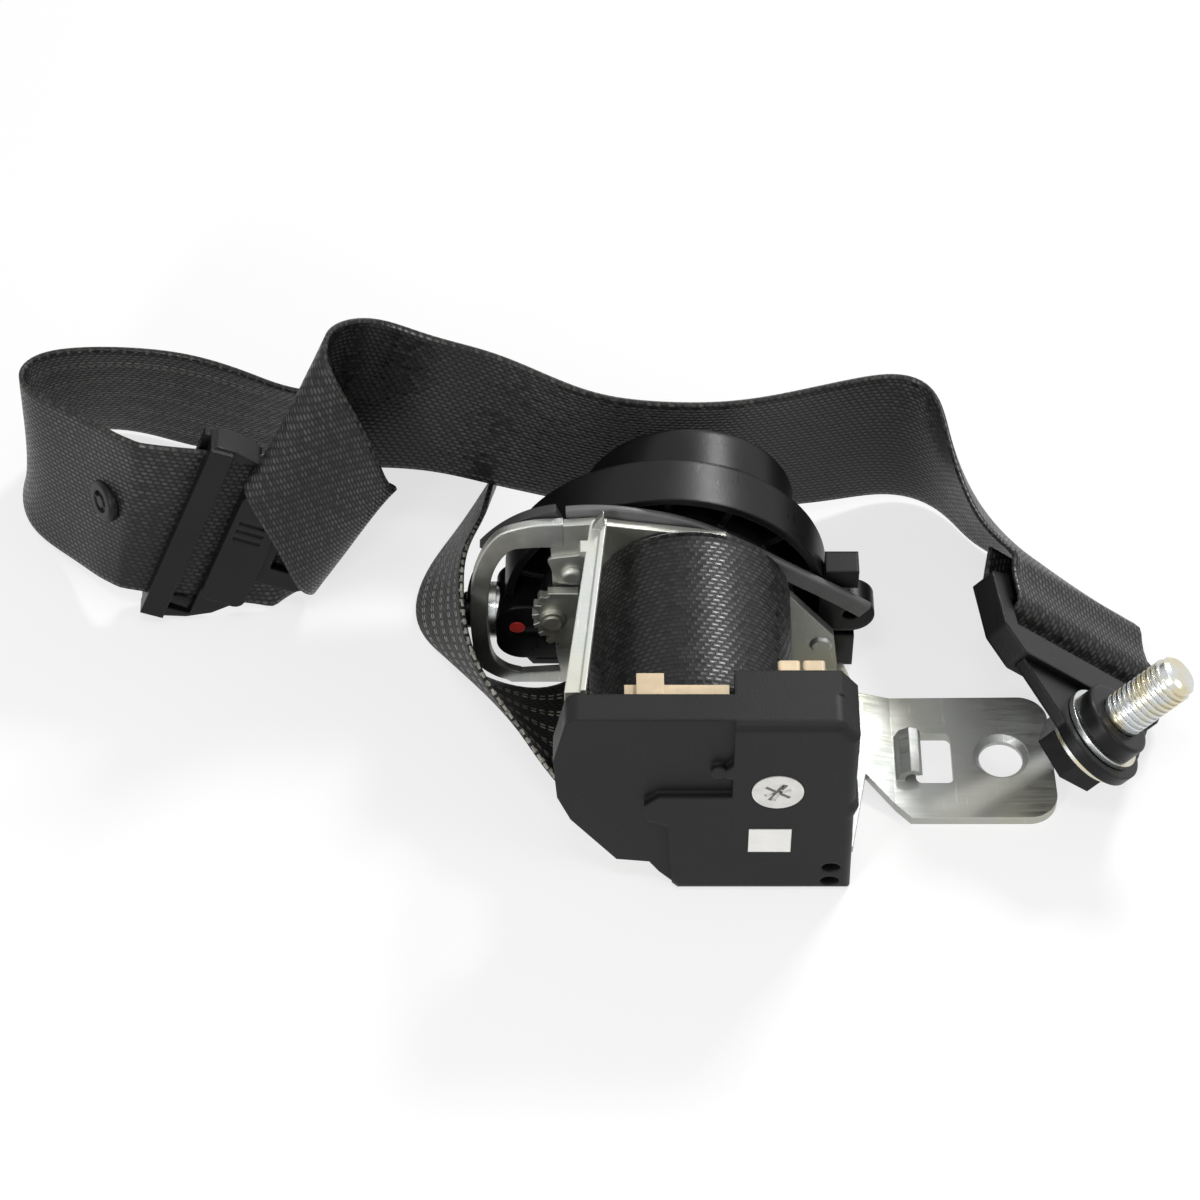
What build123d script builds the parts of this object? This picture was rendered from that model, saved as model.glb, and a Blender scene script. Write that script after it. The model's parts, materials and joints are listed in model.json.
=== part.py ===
"""Seat belt retractor with pyrotechnic pretensioner, tongue and end anchor.

Millimetres, +Z up.  The origin is the centre of the mounting hole in the steel
foot, on the foot's underside.  The spool axis runs along Y, the foot points to
+X, the locking side faces -Y and the pretensioner side faces +Y.
"""
from build123d import *
import math
import os

os.makedirs("parts", exist_ok=True)

# Webbing
web_width = 47.0
web_thick = 1.2

# Spool and roll of webbing
spool_x = -75.4
spool_z = 35.0
roll_r = 24.5
roll_y0 = -24.5
core_r = 9.0
flange_r = 22.0
flange_t = 1.0
side_gap = 0.5
torsion_r = 4.0
stub_r = 6.0
run_clear = 0.05

# Steel frame
sheet = 2.2
base_z = 2.8
base_x0 = -98.0
base_x1 = -37.0
foot_t = 2.5
foot_hole_r = 5.3
foot_sink_r = 6.6
foot_x1 = 12.8
foot_y0 = -18.5
foot_y1 = 18.0
foot_corner = 7.0
ramp_x0 = -34.0
ramp_x1 = -26.0
window_x = (-20.8, -11.8)
window_y = (-8.2, 6.6)
plate_hole_r = 19.0
rivet_r = 2.75
rivet_h = 0.8

# Front cover and the locking mechanism under it
cover_y = -38.0
cover_wall = 1.5
cover_step = 1.9
cover_round = 2.2
carrier_t = 1.2
layer_gap = 0.3
ratchet_r = 17.0
ratchet_teeth = 24
ratchet_tooth = 2.2
disc_t = 1.7
pawl_t = 1.7
sensor_x = -45.5
sensor_z = 17.0

# Pretensioner side
sector_at = (-107.7, 28.5)
housing_r = 39.0
housing_x = -80.5
housing_z = 23.0
housing_wall = 2.0
housing_gap = 2.9
housing_depth = 12.4
case_r = 26.0
case_depth = 12.0
module = 1.5
pinion_teeth = 16
pinion_t = 6.0
tooth_share = 0.38
addendum = 0.6
dedendum = 1.1
rack_teeth = 7
tube_r = 6.0
tube_wall = 1.0
rack_half = 2.5

# Derived depths and heights
roll_y1 = roll_y0 + web_width
plate_front_in = roll_y0 - 2 * side_gap - flange_t
plate_front_out = plate_front_in - sheet
plate_rear_in = roll_y1 + 2 * side_gap + flange_t
plate_rear_out = plate_rear_in + sheet
carrier_y = plate_front_out - carrier_t
cover_inner = cover_y + cover_step + cover_wall
housing_y0 = plate_rear_out + housing_gap
housing_y1 = housing_y0 + housing_depth
pitch_r = module * pinion_teeth / 2
pinion_y0 = housing_y0 + 1.4
pinion_mid = pinion_y0 + pinion_t / 2
rack_line = spool_z - pitch_r
rack_floor = rack_line - 10.4
tube_z = rack_line - 6.3
tooth_pitch = math.pi * module
frame_top = 59.0


def facing(y):
    """Plane at depth y whose local x, y are X, Z and whose normal is -Y."""
    return Plane(origin=(0, y, 0), x_dir=(1, 0, 0), z_dir=(0, -1, 0))


def across(x):
    """Plane at a given X whose normal is +X and whose local y is Z."""
    return Plane(origin=(x, 0, 0), x_dir=(0, 1, 0), z_dir=(1, 0, 0))


def save(part, name):
    part.label = name
    export_step(part, f"parts/{name}.step")
    print(f"{name:22s} {len(part.solids())} solids {part.volume:10.1f} mm3")


def gear_outline(teeth, tip_r, root_r, share, phase=0.0):
    """Closed outline of straight-sided teeth around the origin."""
    points = []
    step = 360.0 / teeth
    for i in range(teeth):
        centre = phase + i * step
        for angle, radius in (
            (-share * 0.62 * step, root_r), (-share * 0.36 * step, tip_r),
            (share * 0.36 * step, tip_r), (share * 0.62 * step, root_r),
        ):
            a = math.radians(centre + angle)
            points.append((radius * math.cos(a), radius * math.sin(a)))
    return points


def saw_outline(teeth, tip_r, root_r):
    """Closed outline of ratchet teeth, steep on one side."""
    points = []
    step = 360.0 / teeth
    for i in range(teeth):
        for angle, radius in ((0.0, root_r), (0.12 * step, tip_r), (0.9 * step, root_r)):
            a = math.radians(i * step + angle)
            points.append((radius * math.cos(a), radius * math.sin(a)))
    return points


# Steel frame: joggled base and foot, two side plates, bent tab
front_plate = [
    (-92.5, base_z), (-96.5, 6.6), (-104.5, 20.0), (-104.5, 54.0), (-99.5, frame_top), (-58.0, frame_top),
    (-41.0, 36.0), (-38.0, base_z),
]
rear_plate = [
    (-118.0, 0.4), (-125.0, 6.0), (-126.9, 16.0), (-126.9, 30.0), (-125.2, 43.0),
    (-120.0, 54.0), (-113.0, 57.5), (-98.0, frame_top), (-67.0, 54.0), (-40.0, 18.0), (-38.0, 0.4),
]
rear_window = [
    (-117.0, 3.4), (-122.4, 8.0), (-123.6, 16.0), (-123.6, 30.0), (-122.0, 42.0),
    (-118.0, 50.0), (-108.0, 51.0), (-107.0, 12.0), (-106.0, 4.5),
]
foot_plan = [
    (-92.0, plate_front_out), (base_x0, -22.0), (base_x0, plate_rear_out), (base_x1, plate_rear_out),
    (ramp_x0, foot_y1 - 0.5), (foot_x1 - 1.0, foot_y1), (foot_x1, foot_y0), (-22.5, foot_y0),
    (-33.0, -7.0), (base_x1, plate_front_out),
]
tab_profile = [
    (-25.6, foot_t - 0.2), (-24.6, 5.0), (-22.2, 6.4), (-20.0, 5.8), (-19.4, 4.6),
    (-20.6, 4.4), (-22.0, 5.0), (-23.2, 4.2), (-23.6, foot_t - 0.2),
]
with BuildPart() as frame:
    with BuildSketch(facing(plate_rear_out)):
        with BuildLine():
            Polyline([(base_x0, base_z), (ramp_x0, base_z), (ramp_x1, 0), (foot_x1 + 5, 0),
                      (foot_x1 + 5, foot_t), (ramp_x1, foot_t), (ramp_x0, base_z + sheet),
                      (base_x0, base_z + sheet)], close=True)
        make_face()
    extrude(amount=plate_rear_out - plate_front_out)
    with BuildSketch(Plane.XY.offset(-1)):
        with BuildLine():
            Polyline(foot_plan, close=True)
        make_face()
        corners = vertices().group_by(Axis.X)[-1] + vertices().group_by(Axis.X)[-2]
        fillet(corners, foot_corner)
        with Locations((sum(window_x) / 2, sum(window_y) / 2)):
            RectangleRounded(window_x[1] - window_x[0], window_y[1] - window_y[0], 1.6, mode=Mode.SUBTRACT)
        Circle(foot_hole_r, mode=Mode.SUBTRACT)
    extrude(amount=20, mode=Mode.INTERSECT)
    with BuildSketch(facing(plate_front_in)):
        with BuildLine():
            Polyline(front_plate, close=True)
        make_face()
        with Locations((spool_x, spool_z)):
            Circle(plate_hole_r, mode=Mode.SUBTRACT)
        with Locations((sensor_x, sensor_z)):
            RectangleRounded(9.6, 21.0, 1.5, mode=Mode.SUBTRACT)
    extrude(amount=sheet)
    with BuildSketch(facing(plate_rear_out)):
        with BuildLine():
            Polyline(rear_plate, close=True)
        make_face()
        with BuildLine():
            Polyline(rear_window, close=True)
        make_face(mode=Mode.SUBTRACT)
        with Locations((spool_x, spool_z)):
            Circle(pitch_r + addendum + 1.5, mode=Mode.SUBTRACT)
        with Locations(sector_at):
            Circle(3.4, mode=Mode.SUBTRACT)
    extrude(amount=sheet)
    with BuildSketch(facing(window_y[1] - 0.8)):
        with BuildLine():
            Polyline(tab_profile, close=True)
        make_face()
    extrude(amount=window_y[1] - window_y[0] - 1.6)
    # Countersunk rim of the mounting hole
    with BuildSketch(Plane.XZ):
        with BuildLine():
            Polyline([(foot_hole_r - 0.01, 1.1), (foot_hole_r - 0.01, foot_t + 0.01),
                      (foot_sink_r, foot_t + 0.01)], close=True)
        make_face()
    revolve(axis=Axis.Z, mode=Mode.SUBTRACT)
save(frame.part, "frame")

# Webbing guide that ties the two side plates together, set askew with a rolled lip
guide_y0 = plate_front_in + 0.02
guide_y1 = plate_rear_in - 0.02
guide_top = [(-104.4, guide_y0), (-99.6, guide_y0), (-94.8, guide_y1), (-98.6, guide_y1)]
guide_wall = [(-104.4, guide_y0), (-102.8, guide_y0), (-97.0, guide_y1), (-98.6, guide_y1)]
guide_lip = [(-100.8, guide_y0), (-99.6, guide_y0), (-94.8, guide_y1), (-96.0, guide_y1)]
with BuildPart() as web_guide:
    for outline, low, high in ((guide_top, 58.6, 60.2), (guide_wall, 51.5, 60.2), (guide_lip, 57.6, 61.0)):
        with BuildSketch(Plane.XY.offset(low)):
            with BuildLine():
                Polyline(outline, close=True)
            make_face()
        extrude(amount=high - low)
    # Pointed ear at the rear end and the small side ear
    with BuildSketch(facing(guide_y1 - 1.0)):
        with BuildLine():
            Polyline([(-98.2, 60.0), (-97.2, 62.4), (-95.6, 65.0), (-95.2, 60.0)], close=True)
        make_face()
    extrude(amount=1.6)
    with BuildSketch(facing(guide_y1 - 6.0)):
        with BuildLine():
            Polyline([(-98.6, 57.5), (-101.4, 58.6), (-101.0, 60.2), (-98.6, 60.2)], close=True)
        make_face()
    extrude(amount=3.4)
save(web_guide.part, "web_guide")

# Rivet heads on the rear side plate
with BuildPart() as frame_rivets:
    for x, z in ((-42.9, 14.8), (-88.0, 12.0)):
        with BuildSketch(facing(plate_rear_in)):
            with Locations((x, z)):
                Circle(rivet_r)
        extrude(amount=rivet_h)
    chamfer(faces().filter_by(Axis.Y).group_by(Axis.Y)[0].edges(), rivet_h - 0.2)
save(frame_rivets.part, "frame_rivets")

# Spool: core, flanges, stub shafts, bored for the torsion bar
stub_front_y = cover_inner + 0.6
stub_rear_y = pinion_y0 + pinion_t + 1.0
with BuildPart() as spool:
    with BuildSketch(Plane(origin=(spool_x, 0, spool_z), x_dir=(1, 0, 0), z_dir=(0, 0, 1))):
        with BuildLine():
            Polyline([
                (torsion_r + run_clear, stub_front_y + disc_t + 2 * layer_gap),
                (stub_r, stub_front_y + disc_t + 2 * layer_gap),
                (stub_r, roll_y0 - side_gap - flange_t),
                (flange_r, roll_y0 - side_gap - flange_t),
                (flange_r, roll_y0 - side_gap), (core_r, roll_y0 - side_gap),
                (core_r, roll_y1 + side_gap), (flange_r, roll_y1 + side_gap),
                (flange_r, roll_y1 + side_gap + flange_t), (stub_r, roll_y1 + side_gap + flange_t),
                (stub_r, stub_rear_y), (torsion_r + run_clear, stub_rear_y)], close=True)
        make_face()
    revolve(axis=Axis((spool_x, 0, spool_z), (0, 1, 0)))
save(spool.part, "spool")

with BuildPart() as webbing_roll:
    with BuildSketch(facing(roll_y1)):
        with Locations((spool_x, spool_z)):
            Circle(roll_r)
            Circle(core_r, mode=Mode.SUBTRACT)
    extrude(amount=web_width)
save(webbing_roll.part, "webbing_roll")

spring_y0 = housing_y1 + 1.2
spring_y1 = housing_y1 + case_depth - 2.6
with BuildPart() as torsion_bar:
    with BuildSketch(facing(spring_y1 + 0.8)):
        with Locations((spool_x, spool_z)):
            Circle(torsion_r)
    extrude(amount=spring_y1 + 0.8 - stub_front_y)
save(torsion_bar.part, "torsion_bar")

# Locking side: ratchet wheel, pawl with pin, inertia disc
ratchet_y0 = carrier_y - pawl_t - layer_gap
ratchet_y1 = plate_front_in - layer_gap - 0.3
with BuildPart() as ratchet_wheel:
    with BuildSketch(facing(ratchet_y1)):
        with BuildLine():
            Polyline([(spool_x + px, spool_z + pz) for px, pz in
                      saw_outline(ratchet_teeth, ratchet_r, ratchet_r - ratchet_tooth)], close=True)
        make_face()
        with Locations((spool_x, spool_z)):
            Circle(stub_r, mode=Mode.SUBTRACT)
            with PolarLocations(10.5, 6):
                Circle(1.6, mode=Mode.SUBTRACT)
    extrude(amount=ratchet_y1 - ratchet_y0)
save(ratchet_wheel.part, "ratchet_wheel")

with BuildPart() as lock_disc:
    with BuildSketch(facing(stub_front_y + disc_t + layer_gap)):
        with Locations((spool_x, spool_z)):
            Circle(ratchet_r - 1.0)
            with PolarLocations(ratchet_r - 5.5, 3):
                SlotOverall(9.0, 4.0, rotation=90, mode=Mode.SUBTRACT)
            Circle(torsion_r + run_clear, mode=Mode.SUBTRACT)
    extrude(amount=disc_t)
save(lock_disc.part, "lock_disc")

# Pawl that drops into the ratchet wheel, on a pin riveted to the front plate
pawl_x = spool_x - ratchet_r - 5.5
pawl_z = spool_z - 4.0
pin_r = 2.0
pawl_y = plate_front_out - layer_gap
with BuildPart() as lock_pawl:
    with BuildSketch(facing(pawl_y)):
        with BuildLine():
            Polyline([(pawl_x - 3.6, pawl_z), (pawl_x - 3.2, pawl_z + 6.0), (pawl_x + 2.6, pawl_z + 11.5),
                      (pawl_x + 4.6, pawl_z + 10.2), (pawl_x + 3.2, pawl_z + 4.0),
                      (pawl_x + 3.6, pawl_z)], close=True)
        make_face()
        with Locations((pawl_x, pawl_z)):
            Circle(3.6)
            Circle(pin_r + run_clear, mode=Mode.SUBTRACT)
    extrude(amount=pawl_t)
save(lock_pawl.part, "lock_pawl")

with BuildPart() as pawl_pin:
    with BuildSketch(facing(plate_front_out)):
        with Locations((pawl_x, pawl_z)):
            Circle(pin_r)
    extrude(amount=pawl_t + 2 * layer_gap)
    with BuildSketch(facing(plate_front_out - pawl_t - 2 * layer_gap)):
        with Locations((pawl_x, pawl_z)):
            Circle(pin_r + 1.0)
    extrude(amount=0.8)
save(pawl_pin.part, "pawl_pin")

# Vehicle sensor in the window of the front plate: cup, ball and lever
sensor_w = 9.0
sensor_h = 12.0
sensor_y0 = plate_front_out - 3.2
sensor_y1 = sensor_y0 + 15.0
sensor_floor = sensor_z - 8.0
ball_y = (sensor_y0 + sensor_y1) / 2
with BuildPart() as sensor_housing:
    with BuildSketch(Plane.XY.offset(sensor_floor)):
        with Locations((sensor_x, ball_y)):
            RectangleRounded(sensor_w, sensor_y1 - sensor_y0, 1.0)
    extrude(amount=sensor_h)
    with BuildSketch(Plane(origin=(sensor_x, ball_y, 0), x_dir=(1, 0, 0), z_dir=(0, -1, 0))):
        with BuildLine():
            Polyline([(0, sensor_floor + 1.2), (1.6, sensor_floor + 1.2), (3.9, sensor_floor + 3.0),
                      (3.9, sensor_floor + sensor_h), (0, sensor_floor + sensor_h)], close=True)
        make_face()
    revolve(axis=Axis((sensor_x, ball_y, 0), (0, 0, 1)), mode=Mode.SUBTRACT)
save(sensor_housing.part, "sensor_housing")

sensor_ball_r = 3.2
ball_z = sensor_floor + 4.7
with BuildPart() as sensor_ball:
    with Locations((sensor_x, ball_y, ball_z)):
        Sphere(sensor_ball_r)
save(sensor_ball.part, "sensor_ball")

lever_z = sensor_floor + sensor_h + 0.4
lever_y = sensor_y1 - 2.0
with BuildPart() as sensor_lever:
    with BuildSketch(Plane.XY.offset(lever_z)):
        with Locations((sensor_x, ball_y)):
            RectangleRounded(6.0, sensor_y1 - sensor_y0 - 1.0, 1.0)
    extrude(amount=1.2)
    with BuildSketch(Plane.XY.offset(lever_z)):
        with Locations((sensor_x, sensor_y0 + 2.0)):
            Rectangle(2.0, 2.0)
    extrude(amount=3.4)
    with BuildSketch(Plane.XY.offset(ball_z + sensor_ball_r + 0.3)):
        with Locations((sensor_x, ball_y)):
            Circle(1.2)
    extrude(until=Until.NEXT)
    with BuildSketch(across(sensor_x - 3.5)):
        with Locations((sensor_y1 - 1.0, lever_z + 0.6)):
            Circle(0.6)
    extrude(amount=7.0)
save(sensor_lever.part, "sensor_lever")

# Plastic carrier on the front plate, with the top flange behind the cover
flange_x0 = -91.0
flange_x1 = -67.5
flange_z = frame_top + 0.3
carrier_outline = [
    (-103.0, 30.0), (-103.0, 52.0), (-99.0, 57.5), (-58.5, 57.5), (-42.0, 35.0),
    (-41.0, 29.0), (-52.0, 29.0), (-52.0, 5.5), (-79.0, 5.5), (-80.0, 14.0), (-91.0, 14.0),
]
with BuildPart() as mechanism_carrier:
    with BuildSketch(facing(plate_front_out)):
        with BuildLine():
            Polyline(carrier_outline, close=True)
        make_face()
        with Locations((spool_x, spool_z)):
            Circle(plate_hole_r, mode=Mode.SUBTRACT)
        with Locations((pawl_x + 0.8, pawl_z + 4.0)):
            RectangleRounded(12.0, 20.0, 3.0, mode=Mode.SUBTRACT)
    extrude(amount=carrier_t)
    with BuildSketch(facing(plate_front_in + 1.8)):
        with Locations(((flange_x0 + flange_x1) / 2, flange_z + 0.7)):
            Rectangle(flange_x1 - flange_x0, 1.4)
    extrude(amount=plate_front_in + 1.8 - plate_front_out + carrier_t)
    with BuildSketch(facing(plate_front_out)):
        with Locations(((flange_x0 + flange_x1) / 2, flange_z - 1.3)):
            Rectangle(flange_x1 - flange_x0, 4.0)
    extrude(amount=carrier_t)
save(mechanism_carrier.part, "mechanism_carrier")

# Front cover: moulded shell with a raised lower right field and a top hood
cover_bottom = 0.4
cover_top = 62.4
cover_outline = [
    (-78.6, cover_bottom), (-82.6, 5.2), (-85.0, 9.2), (-92.6, 10.2), (-103.2, 25.6),
    (-106.2, 34.0), (-107.0, 47.0), (-103.8, cover_top), (-42.4, cover_top), (-38.4, 57.0),
    (-38.4, 34.0), (-37.4, 31.0), (-38.4, 27.5), (-37.9, cover_bottom),
]
step_edge = [
    (-112.0, 70.0), (-66.4, 70.0), (-66.4, 48.0), (-68.2, 46.0), (-68.2, 43.8), (-66.4, 43.0),
    (-66.4, 36.2), (-83.0, 36.2), (-86.4, 33.0), (-85.6, 27.6), (-80.8, 25.4), (-79.4, -2.0),
    (-112.0, -2.0),
]
hood_y1 = plate_front_in + 4.6
with BuildPart() as front_cover:
    with BuildSketch(facing(plate_front_out)):
        with BuildLine():
            Polyline(cover_outline, close=True)
        make_face()
        fillet(vertices().sort_by(Axis.Y)[-2:], 3.0)
    extrude(amount=plate_front_out - cover_y)
    # Hood over the top edge of the front plate
    with BuildSketch(facing(hood_y1)):
        with BuildLine():
            Polyline([(-66.4, frame_top + 0.5), (-66.4, cover_top), (-42.4, cover_top), (-38.4, 57.0),
                      (-38.4, 42.0), (-40.2, 42.0), (-44.6, frame_top + 0.5)], close=True)
        make_face()
    extrude(amount=hood_y1 - plate_front_out)
    fillet(faces().filter_by(Axis.Y).sort_by(Axis.Y)[0].edges(), cover_round)
    with BuildSketch(facing(cover_y + cover_step)):
        with BuildLine():
            Polyline(step_edge, close=True)
        make_face()
    extrude(amount=cover_step + 1, mode=Mode.SUBTRACT)
    with BuildSketch(facing(plate_front_out)):
        with BuildLine():
            Polyline(cover_outline, close=True)
        make_face()
        offset(amount=-cover_wall, kind=Kind.INTERSECTION)
    extrude(amount=plate_front_out - cover_inner, mode=Mode.SUBTRACT)
    # Pocket of the round disc, two sight holes and the post at the step
    with BuildSketch(facing(cover_y + 0.7)):
        with Locations((-56.2, 38.6)):
            Circle(6.0)
    extrude(amount=2, mode=Mode.SUBTRACT)
    with BuildSketch(facing(cover_inner + 1)):
        with Locations((-42.8, 9.4), (-42.9, 4.2)):
            Ellipse(2.2, 1.7)
    extrude(amount=10, mode=Mode.SUBTRACT)
    with BuildSketch(facing(cover_y + cover_step + 0.5)):
        with Locations((-69.6, 45.0)):
            Circle(1.9)
    extrude(amount=cover_step + 0.2)
save(front_cover.part, "front_cover")

with BuildPart() as cover_disc:
    with BuildSketch(facing(cover_y + 0.7)):
        with Locations((-56.2, 38.6)):
            Circle(5.9)
    extrude(amount=0.9)
    with BuildSketch(facing(cover_y + 0.3)):
        with Locations((-56.2, 38.6)):
            Rectangle(6.4, 1.1, rotation=20)
            Rectangle(1.1, 6.4, rotation=-18)
    extrude(amount=1, mode=Mode.SUBTRACT)
save(cover_disc.part, "cover_disc")

with BuildPart() as cover_label:
    with BuildSketch(facing(cover_y)):
        with Locations((-57.4, 20.2)):
            Rectangle(9.8, 8.6)
    extrude(amount=0.2)
save(cover_label.part, "cover_label")

# Cream retaining clips pushed over the carrier flange and the hood
with BuildPart() as cover_clips:
    with BuildSketch(facing(plate_front_in + 4.2)):
        with Locations((-85.2, flange_z + 2.0)):
            Rectangle(6.2, 1.2)
    extrude(amount=6.2)
    with BuildSketch(facing(hood_y1 + 3.0)):
        with Locations((-54.0, frame_top + 1.9), (-48.4, frame_top + 1.9)):
            RectangleRounded(5.0, 2.6, 0.8)
    extrude(amount=3.0)
save(cover_clips.part, "cover_clips")

# Tensioning side: toothed sector seen in the hoop, its pivot, guard plate and rivet
sector_centre = (-98.0, 29.0)
sector_r = 13.0
sector_y = plate_rear_in - 0.9
with BuildPart() as toothed_sector:
    with BuildSketch(facing(sector_y)):
        with BuildLine():
            Polyline([(sector_centre[0] + px, sector_centre[1] + pz) for px, pz in
                      gear_outline(26, sector_r + 1.6, sector_r, 0.5)], close=True)
        make_face()
        with Locations((sector_centre[0] - 16.0, sector_centre[1] - 2.0)):
            Rectangle(25.0, 21.0, mode=Mode.INTERSECT)
        with Locations(sector_at):
            Circle(1.6 + run_clear, mode=Mode.SUBTRACT)
    extrude(amount=2.2)
    with BuildSketch(facing(sector_y - 2.2)):
        with Locations(sector_at):
            Circle(3.0)
            Circle(1.6 + run_clear, mode=Mode.SUBTRACT)
    extrude(amount=0.9)
save(toothed_sector.part, "toothed_sector")

with BuildPart() as sector_pivot:
    with BuildSketch(facing(housing_y0)):
        with Locations(sector_at):
            Circle(1.6)
    extrude(amount=housing_y0 - sector_y + 3.6)
    with BuildSketch(facing(sector_y - 3.4)):
        with Locations(sector_at):
            Circle(2.3)
    extrude(amount=0.7)
save(sector_pivot.part, "sector_pivot")

guard_at = (-103.0, 42.0)
with BuildPart() as sector_guard:
    with BuildSketch(facing(plate_rear_in)):
        with BuildLine():
            Polyline([(-109.0, 47.5), (-99.8, 49.0), (-98.6, 44.0), (-102.0, 38.6), (-106.4, 38.6)], close=True)
        make_face()
        fillet(vertices(), 1.2)
    extrude(amount=0.8)
save(sector_guard.part, "sector_guard")

with BuildPart() as sector_rivet:
    with BuildSketch(facing(plate_rear_in - 0.8)):
        with Locations(guard_at):
            Circle(rivet_r)
    extrude(amount=1.5)
    fillet(faces().filter_by(Axis.Y).sort_by(Axis.Y)[0].edges(), 1.2)
save(sector_rivet.part, "sector_rivet")

# Pretensioner housing: round shell, open towards the plate, with ring wall and ribs
ring_r = 30.0
rib_t = 1.6
spring_lugs = [(spool_x + 29.2 * math.cos(math.radians(a)), spool_z + 29.2 * math.sin(math.radians(a)))
               for a in (170, 247, 324)]
feet = [(housing_x + ring_r * math.cos(math.radians(a)), housing_z + ring_r * math.sin(math.radians(a)))
        for a in (125, 222, 325)]
housing_flat = 1.2
screw_r = 1.5
with BuildPart() as rear_housing:
    with BuildSketch(facing(housing_y1)) as housing_disc:
        with Locations((housing_x, housing_z)):
            Circle(housing_r)
        with Locations((housing_x, housing_flat - 30)):
            Rectangle(3 * housing_r, 60, mode=Mode.SUBTRACT)
    extrude(amount=housing_depth)
    with BuildSketch(facing(housing_y1 - housing_wall)):
        with Locations((housing_x, housing_z)):
            Circle(housing_r - housing_wall)
        with Locations((housing_x, housing_flat + housing_wall - 30)):
            Rectangle(3 * housing_r, 60, mode=Mode.SUBTRACT)
    extrude(amount=housing_depth, mode=Mode.SUBTRACT)
    with BuildSketch(facing(housing_y1 - housing_wall / 2)):
        with Locations((housing_x, housing_z)):
            Circle(ring_r + 1)
            Circle(ring_r - 1, mode=Mode.SUBTRACT)
        with Locations((housing_x, housing_flat - 30)):
            Rectangle(3 * housing_r, 60, mode=Mode.SUBTRACT)
    extrude(amount=housing_depth - housing_wall / 2)
    with BuildSketch(facing(housing_y1 - housing_wall / 2)):
        for a in (18, 42, 66, 90, 114, 138, 162):
            with Locations((housing_x + 34 * math.cos(math.radians(a)),
                            housing_z + 34 * math.sin(math.radians(a)))):
                Rectangle(7.4, rib_t, rotation=a)
    extrude(amount=housing_depth - housing_wall)
    # Feet on the plate, bearing post of the sector, right lug and two corner blocks
    with BuildSketch(facing(housing_y1 - housing_wall / 2)):
        with Locations(*feet):
            Circle(2.2)
    extrude(amount=housing_y1 - housing_wall / 2 - plate_rear_out)
    with BuildSketch(facing(housing_y1 - housing_wall / 2)):
        with Locations(sector_at):
            Circle(3.2)
    extrude(amount=housing_depth - housing_wall / 2)
    with BuildSketch(facing(housing_y0 + 6.4)):
        with Locations((-36.0, 20.0)):
            Circle(6.0)
        with Locations((-38.5, 33.0)):
            Rectangle(8.0, 6.0)
        with Locations((-39.5, 6.4)):
            Rectangle(10.0, 11.0)
        with Locations((-41.5, 20.0)):
            Rectangle(9.0, 12.0)
        with Locations((housing_x, housing_z)):
            Circle(housing_r - 0.5, mode=Mode.SUBTRACT)
        with Locations((-36.0, 20.0)):
            Circle(1.8, mode=Mode.SUBTRACT)
    extrude(amount=6.4)
    # Openings: tube block on the left, rack path on the right, spool shaft, screws
    with BuildSketch(facing(housing_y1 + 1)):
        with Locations((-110.2, 16.5)):
            Rectangle(29.4, 20.6)
        with Locations((spool_x, spool_z)):
            Circle(8.0)
        with Locations(*spring_lugs):
            Circle(screw_r)
    extrude(amount=housing_depth + 6, mode=Mode.SUBTRACT)
    with BuildSketch(facing(housing_y1 - housing_wall)):
        with Locations((-52.0, 17.6)):
            Rectangle(12.0, 14.4)
    extrude(amount=housing_depth, mode=Mode.SUBTRACT)
save(rear_housing.part, "rear_housing")

# Spring case on the back of the housing, with three lugs and screws
case_y1 = housing_y1 + case_depth
lug_t = 2.6
with BuildPart() as spring_case:
    with BuildSketch(facing(case_y1)):
        with Locations((spool_x, spool_z)):
            Circle(case_r)
    extrude(amount=case_depth)
    fillet(faces().filter_by(Axis.Y).sort_by(Axis.Y)[-1].edges(), 2.0)
    with BuildSketch(facing(housing_y1 + lug_t)):
        with Locations(*spring_lugs):
            Circle(3.4)
    extrude(amount=lug_t)
    with BuildSketch(facing(case_y1 - 1.6)):
        with Locations((spool_x, spool_z)):
            Circle(case_r - 1.6)
    extrude(amount=case_depth, mode=Mode.SUBTRACT)
    with BuildSketch(facing(case_y1 + 1)):
        with Locations(*spring_lugs):
            Circle(screw_r)
    extrude(amount=case_depth + 2, mode=Mode.SUBTRACT)
save(spring_case.part, "spring_case")

with BuildPart() as case_screws:
    with BuildSketch(facing(housing_y1 + lug_t)):
        with Locations(*spring_lugs):
            Circle(screw_r)
    extrude(amount=lug_t + housing_wall - 0.2)
    with BuildSketch(facing(housing_y1 + lug_t + 1.8)):
        with Locations(*spring_lugs):
            Circle(2.7)
    extrude(amount=1.8)
    with BuildSketch(facing(housing_y1 + lug_t + 2.0)):
        for lx, lz in spring_lugs:
            with Locations((lx, lz)):
                Rectangle(3.4, 0.7)
                Rectangle(0.7, 3.4)
    extrude(amount=1.0, mode=Mode.SUBTRACT)
save(case_screws.part, "case_screws")

# Clock spring that winds the webbing in, and the arbor it hooks on
arbor_r = 6.5
spring_t = 0.5
spring_turns = 8
spring_points = 22
spring_in = arbor_r + 0.5
spring_out = case_r - 1.6 - 0.6


def spiral(offset):
    """Points of one flank of the clock spring."""
    total = spring_turns * spring_points
    flank = []
    for i in range(total + 1):
        a = 2 * math.pi * i / spring_points
        r = spring_in + (spring_out - spring_t - spring_in) * i / total + offset
        flank.append((spool_x + r * math.cos(a), spool_z + r * math.sin(a)))
    return flank


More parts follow.
